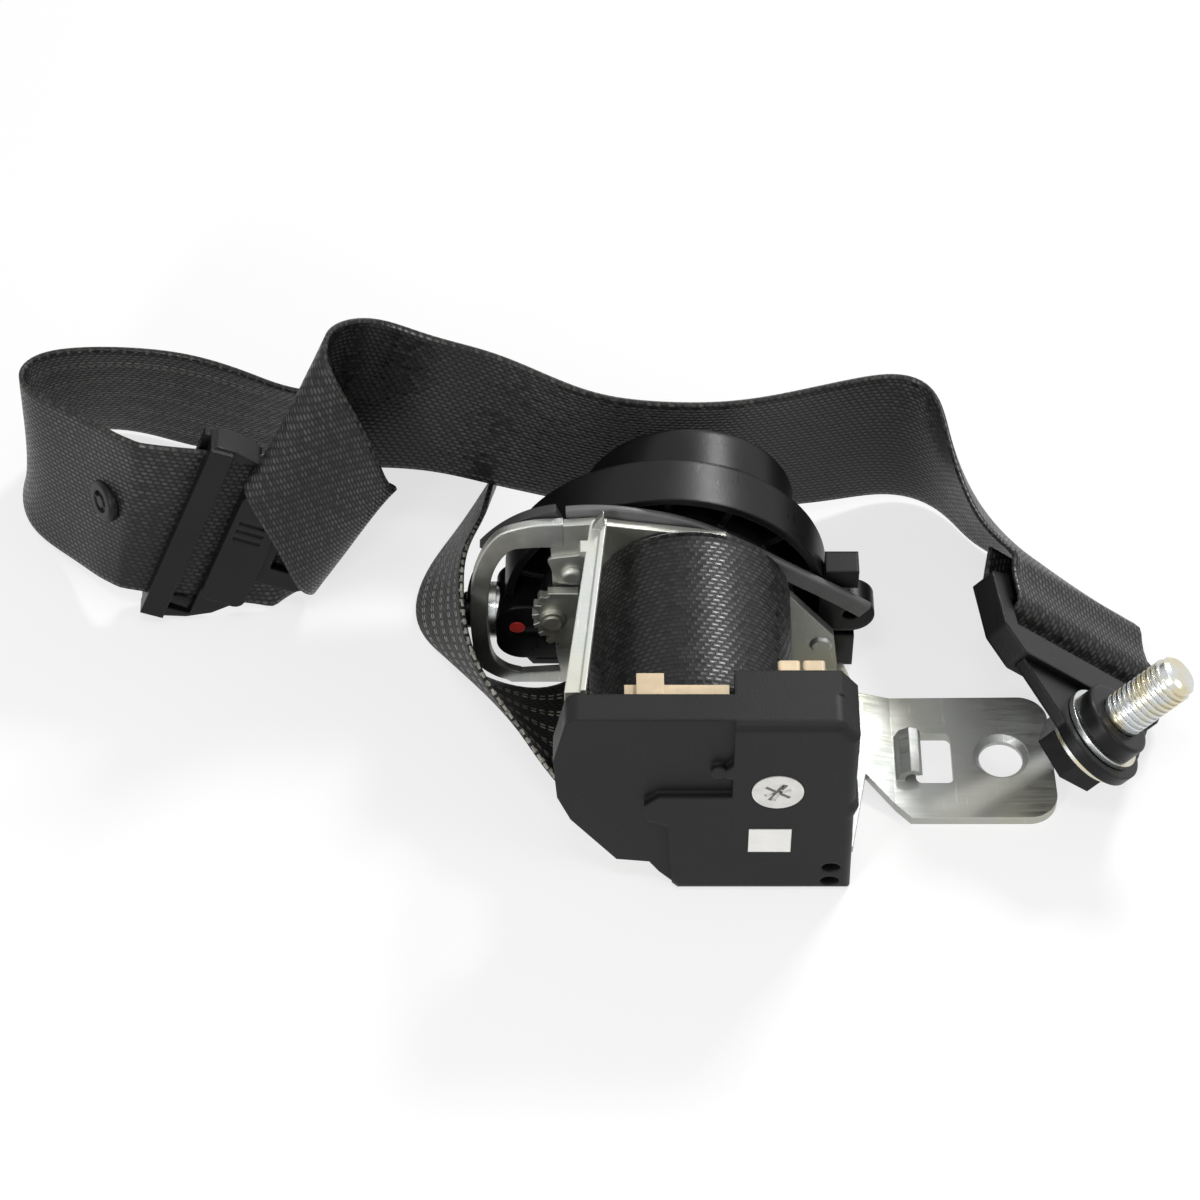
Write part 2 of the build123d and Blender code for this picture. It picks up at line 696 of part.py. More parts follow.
with BuildPart() as main_spring:
    with BuildSketch(facing(spring_y1)):
        with BuildLine():
            Polyline(spiral(0.0) + spiral(spring_t)[::-1], close=True)
        make_face()
    extrude(amount=spring_y1 - spring_y0)
save(main_spring.part, "main_spring")

with BuildPart() as spring_arbor:
    with BuildSketch(facing(spring_y1)):
        with Locations((spool_x, spool_z)):
            Circle(arbor_r)
            Circle(torsion_r, mode=Mode.SUBTRACT)
    extrude(amount=spring_y1 - spring_y0)
save(spring_arbor.part, "spring_arbor")

# Pinion on the spool shaft and the piston rack that drives it
with BuildPart() as drive_pinion:
    with BuildSketch(facing(pinion_y0 + pinion_t)):
        with BuildLine():
            Polyline([(spool_x + px, spool_z + pz) for px, pz in
                      gear_outline(pinion_teeth, pitch_r + addendum, pitch_r - dedendum, tooth_share)], close=True)
        make_face()
        with Locations((spool_x, spool_z)):
            Circle(stub_r + run_clear, mode=Mode.SUBTRACT)
    extrude(amount=pinion_t)
save(drive_pinion.part, "drive_pinion")

rack_x0 = -108.0
rack_x1 = spool_x + tooth_pitch / 2 + 1.4
head_x0 = -114.0
head_r = tube_r - 0.25
rack_root = rack_line - dedendum
rack_points = [(rack_x1, rack_floor), (rack_x1, rack_root)]
for i in range(rack_teeth):
    centre = spool_x + tooth_pitch / 2 - i * tooth_pitch
    foot = tooth_share * 0.62 * tooth_pitch
    crest = tooth_share * 0.36 * tooth_pitch
    rack_points += [(centre + foot, rack_root), (centre + crest, rack_line + addendum),
                    (centre - crest, rack_line + addendum), (centre - foot, rack_root)]
rack_points += [(rack_x0, rack_root), (rack_x0, rack_floor)]
with BuildPart() as piston_rack:
    with BuildSketch(facing(pinion_mid + rack_half)):
        with BuildLine():
            Polyline(rack_points, close=True)
        make_face()
    extrude(amount=2 * rack_half)
    with BuildSketch(across(head_x0)):
        with Locations((pinion_mid, tube_z)):
            Circle(head_r)
    extrude(amount=rack_x0 - head_x0)
    with BuildSketch(across(head_x0 + 2.0)):
        with Locations((pinion_mid, tube_z)):
            Circle(head_r + 1)
            Circle(head_r - 1.2, mode=Mode.SUBTRACT)
    extrude(amount=2.0, mode=Mode.SUBTRACT)
save(piston_rack.part, "piston_rack")

with BuildPart() as piston_seal:
    with BuildSketch(across(head_x0 + 2.0)):
        with Locations((pinion_mid, tube_z)):
            Circle(tube_r - 0.05)
            Circle(head_r - 1.2, mode=Mode.SUBTRACT)
    extrude(amount=2.0)
save(piston_seal.part, "piston_seal")

tube_x0 = -118.0
tube_x1 = -96.0
with BuildPart() as pretensioner_tube:
    with BuildSketch(across(tube_x0)):
        with Locations((pinion_mid, tube_z)):
            Circle(tube_r + tube_wall)
            Circle(tube_r, mode=Mode.SUBTRACT)
    extrude(amount=tube_x1 - tube_x0)
    with BuildSketch(Plane.XY.offset(tube_z)):
        with Locations(((-105.0 + tube_x1) / 2 + 1, pinion_mid)):
            Rectangle(11.0, 2 * rack_half + 1.2)
    extrude(amount=12, mode=Mode.SUBTRACT)
save(pretensioner_tube.part, "pretensioner_tube")

block_x0 = -121.5
block_x1 = -104.0
block_y0 = plate_rear_out + 0.1
with BuildPart() as tube_block:
    with BuildSketch(facing(housing_y1 - 0.8)):
        with Locations(((block_x0 + block_x1) / 2, 16.5)):
            Rectangle(block_x1 - block_x0, 19.0)
        fillet(vertices().sort_by(Axis.X)[:2], 6.5)
    extrude(amount=housing_y1 - 0.8 - block_y0)
    with BuildSketch(across(tube_x0)):
        with Locations((pinion_mid, tube_z)):
            Circle(tube_r + tube_wall)
    extrude(amount=30, mode=Mode.SUBTRACT)
    with BuildSketch(across(block_x0 - 1)):
        with Locations((pinion_mid, tube_z)):
            Circle(tube_r)
    extrude(amount=8, mode=Mode.SUBTRACT)
save(tube_block.part, "tube_block")

generator_x0 = -126.5
with BuildPart() as gas_generator:
    with BuildSketch(across(generator_x0)):
        with Locations((pinion_mid, tube_z)):
            Circle(tube_r)
    extrude(amount=tube_x0 - generator_x0)
    with BuildSketch(across(tube_x0)):
        with Locations((pinion_mid, tube_z)):
            Circle(4.4)
    extrude(amount=2.8)
save(gas_generator.part, "gas_generator")

with BuildPart() as generator_ring:
    with BuildSketch(across(block_x0 - 2.0)):
        with Locations((pinion_mid, tube_z)):
            Circle(tube_r + 0.9)
            Circle(tube_r, mode=Mode.SUBTRACT)
    extrude(amount=2.0)
save(generator_ring.part, "generator_ring")

with BuildPart() as igniter_cap:
    with BuildSketch(across(generator_x0 - 3.4)):
        with Locations((pinion_mid, tube_z)):
            Circle(4.4)
    extrude(amount=3.4)
    chamfer(faces().sort_by(Axis.X)[0].edges(), 0.8)
save(igniter_cap.part, "igniter_cap")

with BuildPart() as red_marker:
    with BuildSketch(facing(block_y0)):
        with Locations((-116.4, 18.6)):
            Circle(1.9)
    extrude(amount=0.15)
save(red_marker.part, "red_marker")

# Flat twin lead between plate and housing, its sleeve, and the two wires to the igniter
lead_y = plate_rear_out + housing_gap / 2
lead_width = 5.0
lead_depth = 2.0
sleeve_line = [(-122.4, 46.0), (-118.7, 50.7), (-112.8, 55.4), (-105.8, 57.8)]
lead_line = [(-104.3, 58.2), (-96.4, 58.6), (-87.1, 57.4), (-77.6, 54.6), (-63.0, 46.0),
             (-48.7, 35.5), (-41.5, 30.4), (-32.7, 23.6)]


def band(points, half):
    """Two flanks of a band of half width around a run of points in the X, Z plane."""
    left, right = [], []
    for i, (px, pz) in enumerate(points):
        ax, az = points[max(i - 1, 0)]
        bx, bz = points[min(i + 1, len(points) - 1)]
        run = math.hypot(bx - ax, bz - az)
        left.append((px - half * (bz - az) / run, pz + half * (bx - ax) / run))
        right.append((px + half * (bz - az) / run, pz - half * (bx - ax) / run))
    return left, right


with BuildPart() as lead_sleeve:
    sleeve_left, sleeve_right = band(sleeve_line, lead_width / 2 + 0.5)
    with BuildSketch(facing(lead_y + lead_depth / 2 + 0.2)):
        with BuildLine():
            Spline(sleeve_left)
            Line(sleeve_left[-1], sleeve_right[-1])
            Spline(sleeve_right[::-1])
            Line(sleeve_right[0], sleeve_left[0])
        make_face()
    extrude(amount=lead_depth + 0.4)
save(lead_sleeve.part, "lead_sleeve")

with BuildPart() as igniter_lead:
    lead_left, lead_right = band(lead_line, lead_width / 2)
    with BuildSketch(facing(lead_y + lead_depth / 2)):
        with BuildLine():
            Spline(lead_left)
            Line(lead_left[-1], lead_right[-1])
            Spline(lead_right[::-1])
            Line(lead_right[0], lead_left[0])
        make_face()
    extrude(amount=lead_depth)
    fillet(edges().filter_by(GeomType.BSPLINE), 0.8)
save(igniter_lead.part, "igniter_lead")

wire_r = 0.6
wire_lines = [
    [(-122.9, lead_y, 44.6), (-125.6, lead_y + 0.8, 38.0), (-127.4, 31.4, 29.0), (-128.2, 33.2, 21.9)],
    [(-121.3, lead_y + 0.1, 44.2), (-123.6, lead_y + 1.4, 38.0), (-125.6, 32.4, 29.4), (-128.0, 35.2, 21.9)],
]
with BuildPart() as lead_wires:
    for points in wire_lines:
        with BuildLine():
            wire = Spline(points)
        with BuildSketch(Plane(origin=wire @ 0, z_dir=wire % 0)):
            Circle(wire_r)
        sweep(path=wire)
save(lead_wires.part, "lead_wires")

# Small vector helpers for the pieces that stand at an angle


def mix(*terms):
    """Sum of (factor, vector) pairs."""
    return tuple(sum(f * v[k] for f, v in terms) for k in range(3))


def dot(a, b):
    return sum(a[k] * b[k] for k in range(3))


def cross(a, b):
    return (a[1] * b[2] - a[2] * b[1], a[2] * b[0] - a[0] * b[2], a[0] * b[1] - a[1] * b[0])


def unit(a):
    size = math.sqrt(dot(a, a))
    return tuple(value / size for value in a)


# Tongue frame: x along the blade, y along the slot, z towards the front
tongue_at = (-197.0, 51.6, 29.6)
tongue_y = unit((0.38, 0.12, 0.917))
tongue_x = unit(mix((1, (0.93, 0.0, -0.37)), (-dot((0.93, 0.0, -0.37), tongue_y), tongue_y)))
tongue_z = cross(tongue_x, tongue_y)
slot_half = 25.8
arm_y = 28.6
bar_half = 2.9
bar_front = 6.0
body_x0 = 9.0
body_x1 = 20.0
body_front = 6.5
strap_clear = 1.0
blade_len = 14.0
blade_half = 11.0
blade_t = 2.2
blade_z = 2.3
arm_back = -3.0
arm_front = 4.5


def tongue_plane(z=0.0):
    return Plane(origin=mix((1, tongue_at), (z, tongue_z)), x_dir=tongue_x, z_dir=tongue_z)


tongue_outline = [
    (-bar_half, arm_y - 1.2), (-bar_half + 1.2, arm_y), (bar_half, arm_y), (8.5, 26.9), (14.0, 23.6),
    (body_x1, 17.0),
]
tongue_ring = tongue_outline + [(px, -py) for px, py in tongue_outline[::-1]]
with BuildPart() as tongue_body:
    # Two arms joined by the front bar, the rear bar and the cross body
    with BuildSketch(tongue_plane(arm_back)):
        with BuildLine():
            Polyline(tongue_ring, close=True)
        make_face()
        Rectangle(80, 2 * slot_half, mode=Mode.SUBTRACT)
    extrude(amount=arm_front - arm_back)
    with BuildSketch(tongue_plane(strap_clear)):
        Rectangle(2 * bar_half, 2 * arm_y - 1)
    extrude(amount=bar_front - strap_clear)
    with BuildSketch(tongue_plane(strap_clear)):
        with BuildLine():
            Polyline(tongue_ring, close=True)
        make_face()
        with Locations(((body_x0 + body_x1) / 2, 0)):
            Rectangle(body_x1 - body_x0, 80, mode=Mode.INTERSECT)
    extrude(amount=arm_front - strap_clear)
    with BuildSketch(tongue_plane(strap_clear)):
        with Locations(((body_x0 + body_x1) / 2, 0)):
            RectangleRounded(body_x1 - body_x0, 36.0, 2.5)
    extrude(amount=body_front - strap_clear)
    with BuildSketch(tongue_plane(arm_back - 1.0)):
        with Locations((-1.5, 0)):
            Rectangle(5.6, 2 * arm_y - 3)
    extrude(amount=-strap_clear - arm_back + 1.0)
    # Pocket that holds the blade
    with BuildSketch(tongue_plane(blade_z - blade_t / 2)):
        with Locations((body_x1 - 4.0, 0)):
            Rectangle(12.0, 2 * blade_half)
    extrude(amount=blade_t, mode=Mode.SUBTRACT)
    # Grip ridges in the front face
    with BuildSketch(tongue_plane(body_front - 0.5)):
        with Locations((14.0, 9.0), (14.0, 6.4), (14.0, 3.8)):
            Rectangle(7.0, 1.1)
    extrude(amount=2, mode=Mode.SUBTRACT)
save(tongue_body.part, "tongue_body")

with BuildPart() as tongue_blade:
    with BuildSketch(tongue_plane(blade_z - blade_t / 2)):
        with Locations((body_x1 - 10.0 + (blade_len + 10.0) / 2, 0)):
            RectangleRounded(blade_len + 10.0, 2 * blade_half, 4.0)
        with Locations((body_x1 + 6.0, 0)):
            RectangleRounded(6.0, 11.0, 1.0, mode=Mode.SUBTRACT)
    extrude(amount=blade_t)
save(tongue_blade.part, "tongue_blade")

# End anchor frame: x along the slot, y from the slot to the bolt, z along the bolt
anchor_at = (16.6, 14.2, 22.6)
anchor_z = unit((0.671, 0.098, 0.735))
anchor_x = unit(mix((1, (0.73, 0.08, -0.68)), (-dot((0.73, 0.08, -0.68), anchor_z), anchor_z)))
anchor_y = cross(anchor_z, anchor_x)
anchor_side = 1.0 if anchor_y[1] < 0 else -1.0
bolt_v = 24.0
eye_u = 24.8
eye_v = 4.0
far_v = -12.0
round_r = 13.0
plate_t = 3.0
ring_t = 6.6
bolt_r = 5.5
head_w = -ring_t / 2 - 0.6


def anchor_plane(w=0.0):
    return Plane(origin=mix((1, anchor_at), (w, anchor_z)), x_dir=anchor_x, z_dir=anchor_z)


def anchor_point(u, v, w):
    return mix((1, anchor_at), (u, anchor_x), (v * anchor_side, anchor_y), (w, anchor_z))


def anchor_outline(grow):
    side = anchor_side
    return [(-28.6 + 0.8 - grow, side * (far_v + 3 - grow)), (-24.0, side * (far_v + 1.6 - grow)),
            (22.0, side * (far_v + 1.6 - grow)), (26.4 + grow, side * (far_v + 3.6)),
            (26.4 + grow, side * 5.0), (12.6, side * (bolt_v + 3)), (-12.6, side * (bolt_v + 3)),
            (-28.6 + 0.8 - grow, side * 6.0)]


with BuildPart() as anchor_plate:
    with BuildSketch(anchor_plane(-plate_t / 2)):
        with BuildLine():
            Polyline(anchor_outline(0.0), close=True)
        make_face()
        fillet(vertices(), 2.0)
        with Locations((0, anchor_side * bolt_v)):
            Circle(round_r)
        Rectangle(2 * eye_u + 2.2, 2 * eye_v + 2.2, mode=Mode.SUBTRACT)
        with Locations((0, anchor_side * bolt_v)):
            Circle(bolt_r + 0.8, mode=Mode.SUBTRACT)
    extrude(amount=plate_t)
save(anchor_plate.part, "anchor_plate")

with BuildPart() as anchor_ring:
    with BuildSketch(anchor_plane(-ring_t / 2)):
        with BuildLine():
            Polyline(anchor_outline(1.6), close=True)
        make_face()
        with Locations((0, anchor_side * (bolt_v + 4))):
            Rectangle(80, 31, mode=Mode.SUBTRACT)
        fillet(vertices(), 1.2)
        Rectangle(2 * eye_u, 2 * eye_v, mode=Mode.SUBTRACT)
    extrude(amount=ring_t)
    with BuildSketch(anchor_plane(-plate_t / 2)):
        with BuildLine():
            Polyline(anchor_outline(0.0), close=True)
        make_face()
        fillet(vertices(), 2.0)
        with Locations((0, anchor_side * bolt_v)):
            Circle(round_r)
        Rectangle(2 * eye_u + 2.2, 2 * eye_v + 2.2, mode=Mode.SUBTRACT)
    extrude(amount=plate_t, mode=Mode.SUBTRACT)
save(anchor_ring.part, "anchor_ring")

# Anchor bolt with head below the plate, black spacer sleeve and washer above
bolt_tip = 27.0
thread_from = 8.5
head_t = 6.0
sleeve_t = 4.6
washer_t = 1.4
with BuildPart() as anchor_bolt:
    with BuildSketch(anchor_plane(-plate_t / 2 - 0.1)):
        with Locations((0, anchor_side * bolt_v)):
            Circle(bolt_r + 0.7)
    extrude(amount=plate_t + 0.2)
    with BuildSketch(anchor_plane(-plate_t / 2 - 0.1)):
        with Locations((0, anchor_side * bolt_v)):
            Circle(bolt_r - 0.5)
    extrude(amount=bolt_tip + plate_t / 2 + 0.1)
    with BuildSketch(anchor_plane(-plate_t / 2 - 0.1)):
        with Locations((0, anchor_side * bolt_v)):
            Circle(11.0)
    extrude(amount=-1.8)
    with BuildSketch(anchor_plane(-plate_t / 2 - 1.9)):
        with Locations((0, anchor_side * bolt_v)):
            RegularPolygon(8.5, 6, major_radius=False)
    extrude(amount=-head_t)
    chamfer(faces().sort_by(Axis(anchor_at, anchor_z))[-1].edges(), 0.9)
    for i in range(11):
        with BuildSketch(Plane(
                origin=mix((1, anchor_point(0, bolt_v, thread_from + 1.5 * i))),
                x_dir=anchor_x, z_dir=anchor_z)):
            Circle(bolt_r)
        extrude(amount=0.8)
save(anchor_bolt.part, "anchor_bolt")

with BuildPart() as anchor_washer:
    with BuildSketch(anchor_plane(plate_t / 2 + 0.2)):
        with Locations((0, anchor_side * bolt_v)):
            Circle(10.6)
            Circle(bolt_r + 0.2, mode=Mode.SUBTRACT)
    extrude(amount=washer_t)
save(anchor_washer.part, "anchor_washer")

with BuildPart() as anchor_sleeve:
    with BuildSketch(anchor_plane(plate_t / 2 + 0.2 + washer_t)):
        with Locations((0, anchor_side * bolt_v)):
            Circle(9.4)
            Circle(bolt_r - 0.5, mode=Mode.SUBTRACT)
    extrude(amount=sleeve_t)
    fillet(faces().sort_by(Axis(anchor_at, anchor_z))[-1].edges(), 0.8)
save(anchor_sleeve.part, "anchor_sleeve")

# Webbing: stations from the roll to the end anchor, each a pair of points on the
# lower and the upper selvedge
strap_turn = math.radians(12.0)
strap_off = -0.6
strap_at = mix((1, tongue_at), (strap_off, tongue_y))
strap_x = mix((math.cos(strap_turn), tongue_x), (math.sin(strap_turn), tongue_y))
strap_y = mix((-math.sin(strap_turn), tongue_x), (math.cos(strap_turn), tongue_y))
roll_under = spool_z - roll_r - web_thick / 2 - 0.3
wrap_w = ring_t / 2 + web_thick / 2 + 0.6
wrap_u = web_width / 2


run_low = -14.5                # the run is straight from here on, past the tongue's travel


def run_station(s):
    """Station of the straight run through the tongue, s along the run."""
    return (mix((1, strap_at), (s, strap_x), (-web_width / 2, strap_y)),
            mix((1, strap_at), (s, strap_x), (web_width / 2, strap_y)))


def wrap_station(v, w):
    """Station of the wrap round the far bar of the anchor."""
    return (anchor_point(wrap_u, v, w), anchor_point(-wrap_u, v, w))


spans = {
    "webbing_exit": [
        ((spool_x, roll_y1, roll_under), (spool_x, roll_y0, roll_under)),
        ((-90.0, roll_y1, roll_under - 0.4), (-90.0, roll_y0, roll_under)),
        ((-100.0, 22.0, 7.0), (-100.0, -23.8, 13.0)),
        ((-108.4, 20.0, 1.8), (-108.4, -20.0, 23.0)),
    ],
    "webbing_fold": [
        ((-122.0, 22.0, 1.3), (-116.0, -8.0, 25.5)),
        ((-133.0, 29.0, 1.2), (-124.0, 2.0, 29.0)),
        ((-140.0, 38.0, 1.2), (-128.5, 12.0, 32.0)),
    ],
    "webbing_rise": [
        ((-142.0, 47.0, 1.2), (-129.6, 22.0, 34.0)),
        ((-139.0, 60.0, 1.2), (-129.6, 35.0, 36.0)),
        ((-131.0, 74.0, 1.2), (-126.5, 48.0, 35.0)),
        ((-124.0, 90.0, 1.4), (-121.0, 55.0, 29.0)),
        ((-121.0, 99.0, 1.8), (-118.0, 62.0, 23.5)),
        ((-123.0, 101.0, 2.0), (-119.5, 72.0, 25.5)),
        ((-128.0, 100.0, 1.6), (-125.0, 76.5, 33.5)),
    ],
    "webbing_back": [
        ((-136.0, 97.5, 1.2), (-134.0, 78.0, 39.5)),
        ((-151.0, 96.8, 1.0), (-146.0, 78.5, 43.5)),
        ((-173.9, 99.2, 1.0), (-173.1, 81.5, 44.0)),
        ((-189.5, 100.3, 1.0), (-181.5, 85.5, 44.5)),
        ((-202.6, 102.7, 1.0), (-191.7, 90.0, 44.7)),
    ],
    "webbing_loop": [
        ((-209.3, 105.9, 1.0), (-199.5, 92.7, 44.8)),
        ((-222.3, 109.1, 1.0), (-214.8, 93.6, 46.2)),
        ((-235.0, 107.5, 1.0), (-228.0, 93.0, 46.4)),
        ((-242.5, 100.0, 1.0), (-235.3, 89.0, 46.5)),
        ((-245.5, 89.5, 1.0), (-238.0, 84.6, 46.6)),
        ((-244.2, 78.9, 1.0), (-236.9, 80.4, 46.8)),
        ((-240.5, 72.5, 1.2), (-233.0, 77.4, 47.0)),
        ((-234.0, 68.2, 1.4), (-227.3, 73.4, 47.2)),
    ],
    "webbing_tongue_run": [
        ((-224.4, 61.0, 2.2), (-217.2, 66.0, 48.8)),
        run_station(run_low),
        run_station(23.0),
        ((-170.0, 54.9, 2.0), (-147.4, 53.0, 41.5)),
    ],
    "webbing_curl_face": [
        ((-165.5, 50.4, 4.4), (-143.6, 49.0, 44.6)),
        ((-169.6, 44.4, 8.6), (-147.0, 44.0, 47.4)),
        ((-172.4, 43.2, 23.4), (-150.4, 45.5, 63.4)),
        ((-176.4, 44.2, 36.9), (-156.4, 48.2, 74.9)),
        ((-180.4, 46.0, 47.6), (-160.4, 50.3, 85.4)),
        ((-182.0, 47.6, 54.2), (-162.4, 52.6, 91.6)),
    ],
    "webbing_curl_back": [
        ((-176.0, 55.5, 54.8), (-158.8, 59.0, 92.6)),
        ((-165.5, 63.0, 44.0), (-153.6, 64.6, 87.4)),
        ((-150.0, 68.0, 35.5), (-148.4, 67.0, 82.0)),
        ((-135.7, 65.5, 33.0), (-136.2, 64.5, 80.0)),
        ((-123.4, 63.8, 30.0), (-122.3, 62.9, 77.0)),
        ((-110.0, 63.6, 26.0), (-109.4, 59.0, 72.7)),
    ],
    "webbing_run": [
        ((-96.4, 64.1, 21.0), (-96.4, 57.0, 67.3)),
        ((-71.4, 70.3, 14.0), (-72.5, 61.4, 60.0)),
        ((-56.1, 73.9, 10.0), (-57.9, 66.5, 56.4)),
        ((-37.9, 80.3, 5.0), (-40.4, 75.6, 51.7)),
    ],
    "webbing_turn": [
        ((-21.0, 86.2, 2.0), (-24.5, 82.6, 48.2)),
        ((-10.9, 83.0, 1.2), (-16.7, 81.7, 47.4)),
        ((-5.6, 75.5, 1.2), (-13.4, 76.0, 47.1)),
        ((-2.8, 70.0, 1.2), (-12.4, 65.7, 46.7)),
        ((3.6, 65.0, 1.2), (-10.4, 52.7, 45.5)),
        ((13.0, 58.0, 1.6), (-7.2, 42.0, 44.2)),
    ],
    "webbing_anchor_end": [
        ((24.6, 48.0, 3.2), (-3.4, 35.5, 43.6)),
        ((31.5, 40.5, 6.8), (-0.8, 32.0, 43.4)),
        wrap_station(-16.0, wrap_w + 0.8),
        wrap_station(-12.0, wrap_w),
        wrap_station(-5.0, wrap_w),
        wrap_station(-2.2, wrap_w - 0.9),
        wrap_station(-1.9, 0.0),
        wrap_station(-2.2, 0.9 - wrap_w),
        wrap_station(-5.0, -wrap_w),
        wrap_station(-12.0, -wrap_w),
        wrap_station(-16.5, -wrap_w + 1.6),
        wrap_station(-23.0, 0.4),
    ],
}
stations = [pair for run in spans.values() for pair in run]


def station_face(i):
    """Section plane and width of the webbing at station i."""
    low, high = stations[i]
    before = stations[max(i - 1, 0)]
    after = stations[min(i + 1, len(stations) - 1)]
    heading = mix((1, after[0]), (1, after[1]), (-1, before[0]), (-1, before[1]))
    chord = unit(mix((1, high), (-1, low)))
    heading = unit(mix((1, heading), (-dot(heading, chord), chord)))
    middle = mix((0.5, low), (0.5, high))
    return Plane(origin=middle, x_dir=chord, z_dir=heading), math.dist(low, high)


start = 0
for span_name, run in spans.items():
    last = min(start + len(run), len(stations) - 1)
    with BuildPart() as span:
        for i in range(start, last):
            for k in (i, i + 1):
                at, width = station_face(k)
                with BuildSketch(at):
                    Rectangle(width, web_thick)
            loft(ruled=True)
    save(span.part, span_name)
    start += len(run)

# Stop button: two halves clamped on the webbing in front of the tongue
button_r = 5.4
button_t = 2.4
button_low = mix((0.5, spans["webbing_tongue_run"][0][0]), (0.5, run_station(run_low)[0]))
button_high = mix((0.5, spans["webbing_tongue_run"][0][1]), (0.5, run_station(run_low)[1]))
button_at = mix((0.45, button_low), (0.55, button_high))
button_up = unit(mix((1, button_high), (-1, button_low)))
button_run = mix((1, run_station(run_low)[0]), (1, run_station(run_low)[1]),
                 (-1, spans["webbing_tongue_run"][0][0]), (-1, spans["webbing_tongue_run"][0][1]))
button_z = unit(cross(button_run, button_up))
button_x = unit(cross(button_up, button_z))


def button_plane(z):
    return Plane(origin=mix((1, button_at), (z, button_z)), x_dir=button_x, z_dir=button_z)


with BuildPart() as stop_button_front:
    with BuildSketch(button_plane(web_thick / 2 + 0.35)):
        Circle(button_r)
    extrude(amount=button_t)
    fillet(faces().sort_by(Axis(button_at, button_z))[-1].edges(), 1.1)
    with BuildSketch(button_plane(web_thick / 2 + 0.35 + button_t - 0.7)):
        Circle(2.9)
        Circle(1.5, mode=Mode.SUBTRACT)
        Rectangle(8, 0.5, mode=Mode.SUBTRACT)
    extrude(amount=2, mode=Mode.SUBTRACT)
save(stop_button_front.part, "stop_button_front")

with BuildPart() as stop_button_back:
    with BuildSketch(button_plane(-web_thick / 2 - 0.35)):
        Circle(button_r)
    extrude(amount=-button_t)
    fillet(faces().sort_by(Axis(button_at, button_z))[0].edges(), 1.1)
save(stop_button_back.part, "stop_button_back")
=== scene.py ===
"""Looks for the seat belt pretensioner: camera, light, materials and the real webbing.

Everything is in metres in the model's own frame, except that the points of the webbing,
the roll and the hoop stay in millimetres until their meshes are made. The webbing is one
strip that is relaxed from its selvedge lines, and the roll on the spool is one wound strip.
"""

import json
import math

import bmesh
import bpy
import numpy as np
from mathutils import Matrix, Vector


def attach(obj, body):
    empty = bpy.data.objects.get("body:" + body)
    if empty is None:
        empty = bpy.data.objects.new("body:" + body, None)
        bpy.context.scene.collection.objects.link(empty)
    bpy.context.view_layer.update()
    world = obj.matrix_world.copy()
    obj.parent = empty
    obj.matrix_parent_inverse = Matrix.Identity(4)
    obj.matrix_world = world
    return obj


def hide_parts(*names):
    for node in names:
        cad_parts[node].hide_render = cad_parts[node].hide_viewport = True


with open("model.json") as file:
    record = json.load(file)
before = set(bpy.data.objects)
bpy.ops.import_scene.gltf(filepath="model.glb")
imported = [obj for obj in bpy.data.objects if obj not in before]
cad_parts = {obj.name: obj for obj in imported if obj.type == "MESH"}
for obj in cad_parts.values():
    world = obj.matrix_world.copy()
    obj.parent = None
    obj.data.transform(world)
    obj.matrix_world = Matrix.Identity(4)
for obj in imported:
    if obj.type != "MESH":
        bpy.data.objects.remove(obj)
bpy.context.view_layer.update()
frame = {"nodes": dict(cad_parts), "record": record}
nodes = frame["nodes"]
scene = bpy.context.scene
MM = 0.001


def add_object(name, data):
    obj = bpy.data.objects.new(name, data)
    scene.collection.objects.link(obj)
    return obj


def aim(obj, place, target):
    """Puts a camera or lamp at a place and turns it towards target."""
    place = Vector(place)
    obj.location = place
    obj.rotation_euler = (Vector(target) - place).to_track_quat("-Z", "Y").to_euler()


def unit(vector):
    vector = np.array(vector, float)
    return vector / np.linalg.norm(vector)


def square_to(axis, vector):
    """Unit vector nearest to vector at a right angle to a unit axis."""
    vector = np.array(vector, float)
    return unit(vector - vector.dot(axis) * axis)


def gaps(points):
    """Distance from each row of points to the next."""
    return np.linalg.norm(np.diff(points, axis=0), axis=-1)


def distances(steps):
    """Distance of every row from the first one, from the steps between them."""
    return np.concatenate([[0.0], np.cumsum(steps)])


# Camera
EYE = (-0.0964, -0.5275, 0.6894)
LOOK_AT = (-0.0964, 0.051, 0.0)
cam_data = bpy.data.cameras.new("camera")
cam_data.lens = 108.0
cam_data.sensor_width = 36.0
cam_data.clip_start = 0.05
camera = add_object("camera", cam_data)
aim(camera, EYE, LOOK_AT)
scene.camera = camera
scene.view_settings.view_transform = "Standard"


# Sizes that shapes and materials share, in millimetres
WIDTH = 47.0  # of the webbing
THICK = 1.2
REVERSE = 100.0  # U of the webbing's reverse starts here
RIM = 0.6  # U of the selvedge's rounded rim
# Origin of the end anchor, where its bolt goes through, and the bolt's axis
ANCHOR_AT = np.array((16.6, 14.2, 22.6))
ANCHOR_Z = unit((0.671, 0.098, 0.735))

# Weave of the webbing, in metres
YARN = 0.00122  # from one warp yarn to the next
FLOAT = 0.0019  # from one float of a yarn to the next
FLOAT_SHIFT = 0.37  # of a float, from each yarn to the next
PAIR = 0.0084  # from one pair of dashed lines to the next
PAIR_START = 0.0024
PAIR_LINES = (0.38, 0.57)  # where the two lines run, as shares of the pair
LINE_HALF = 0.042
DASH, DASH_GAP = 0.0023, 0.38
SELVEDGE = (0.0006, 0.0464)
STITCH, STITCH_GAP = 0.0027, 0.72
FADE = (0.085, 0.125)  # the lines near the spool fade out between these lengths
REVERSE_LINES_END = 0.30

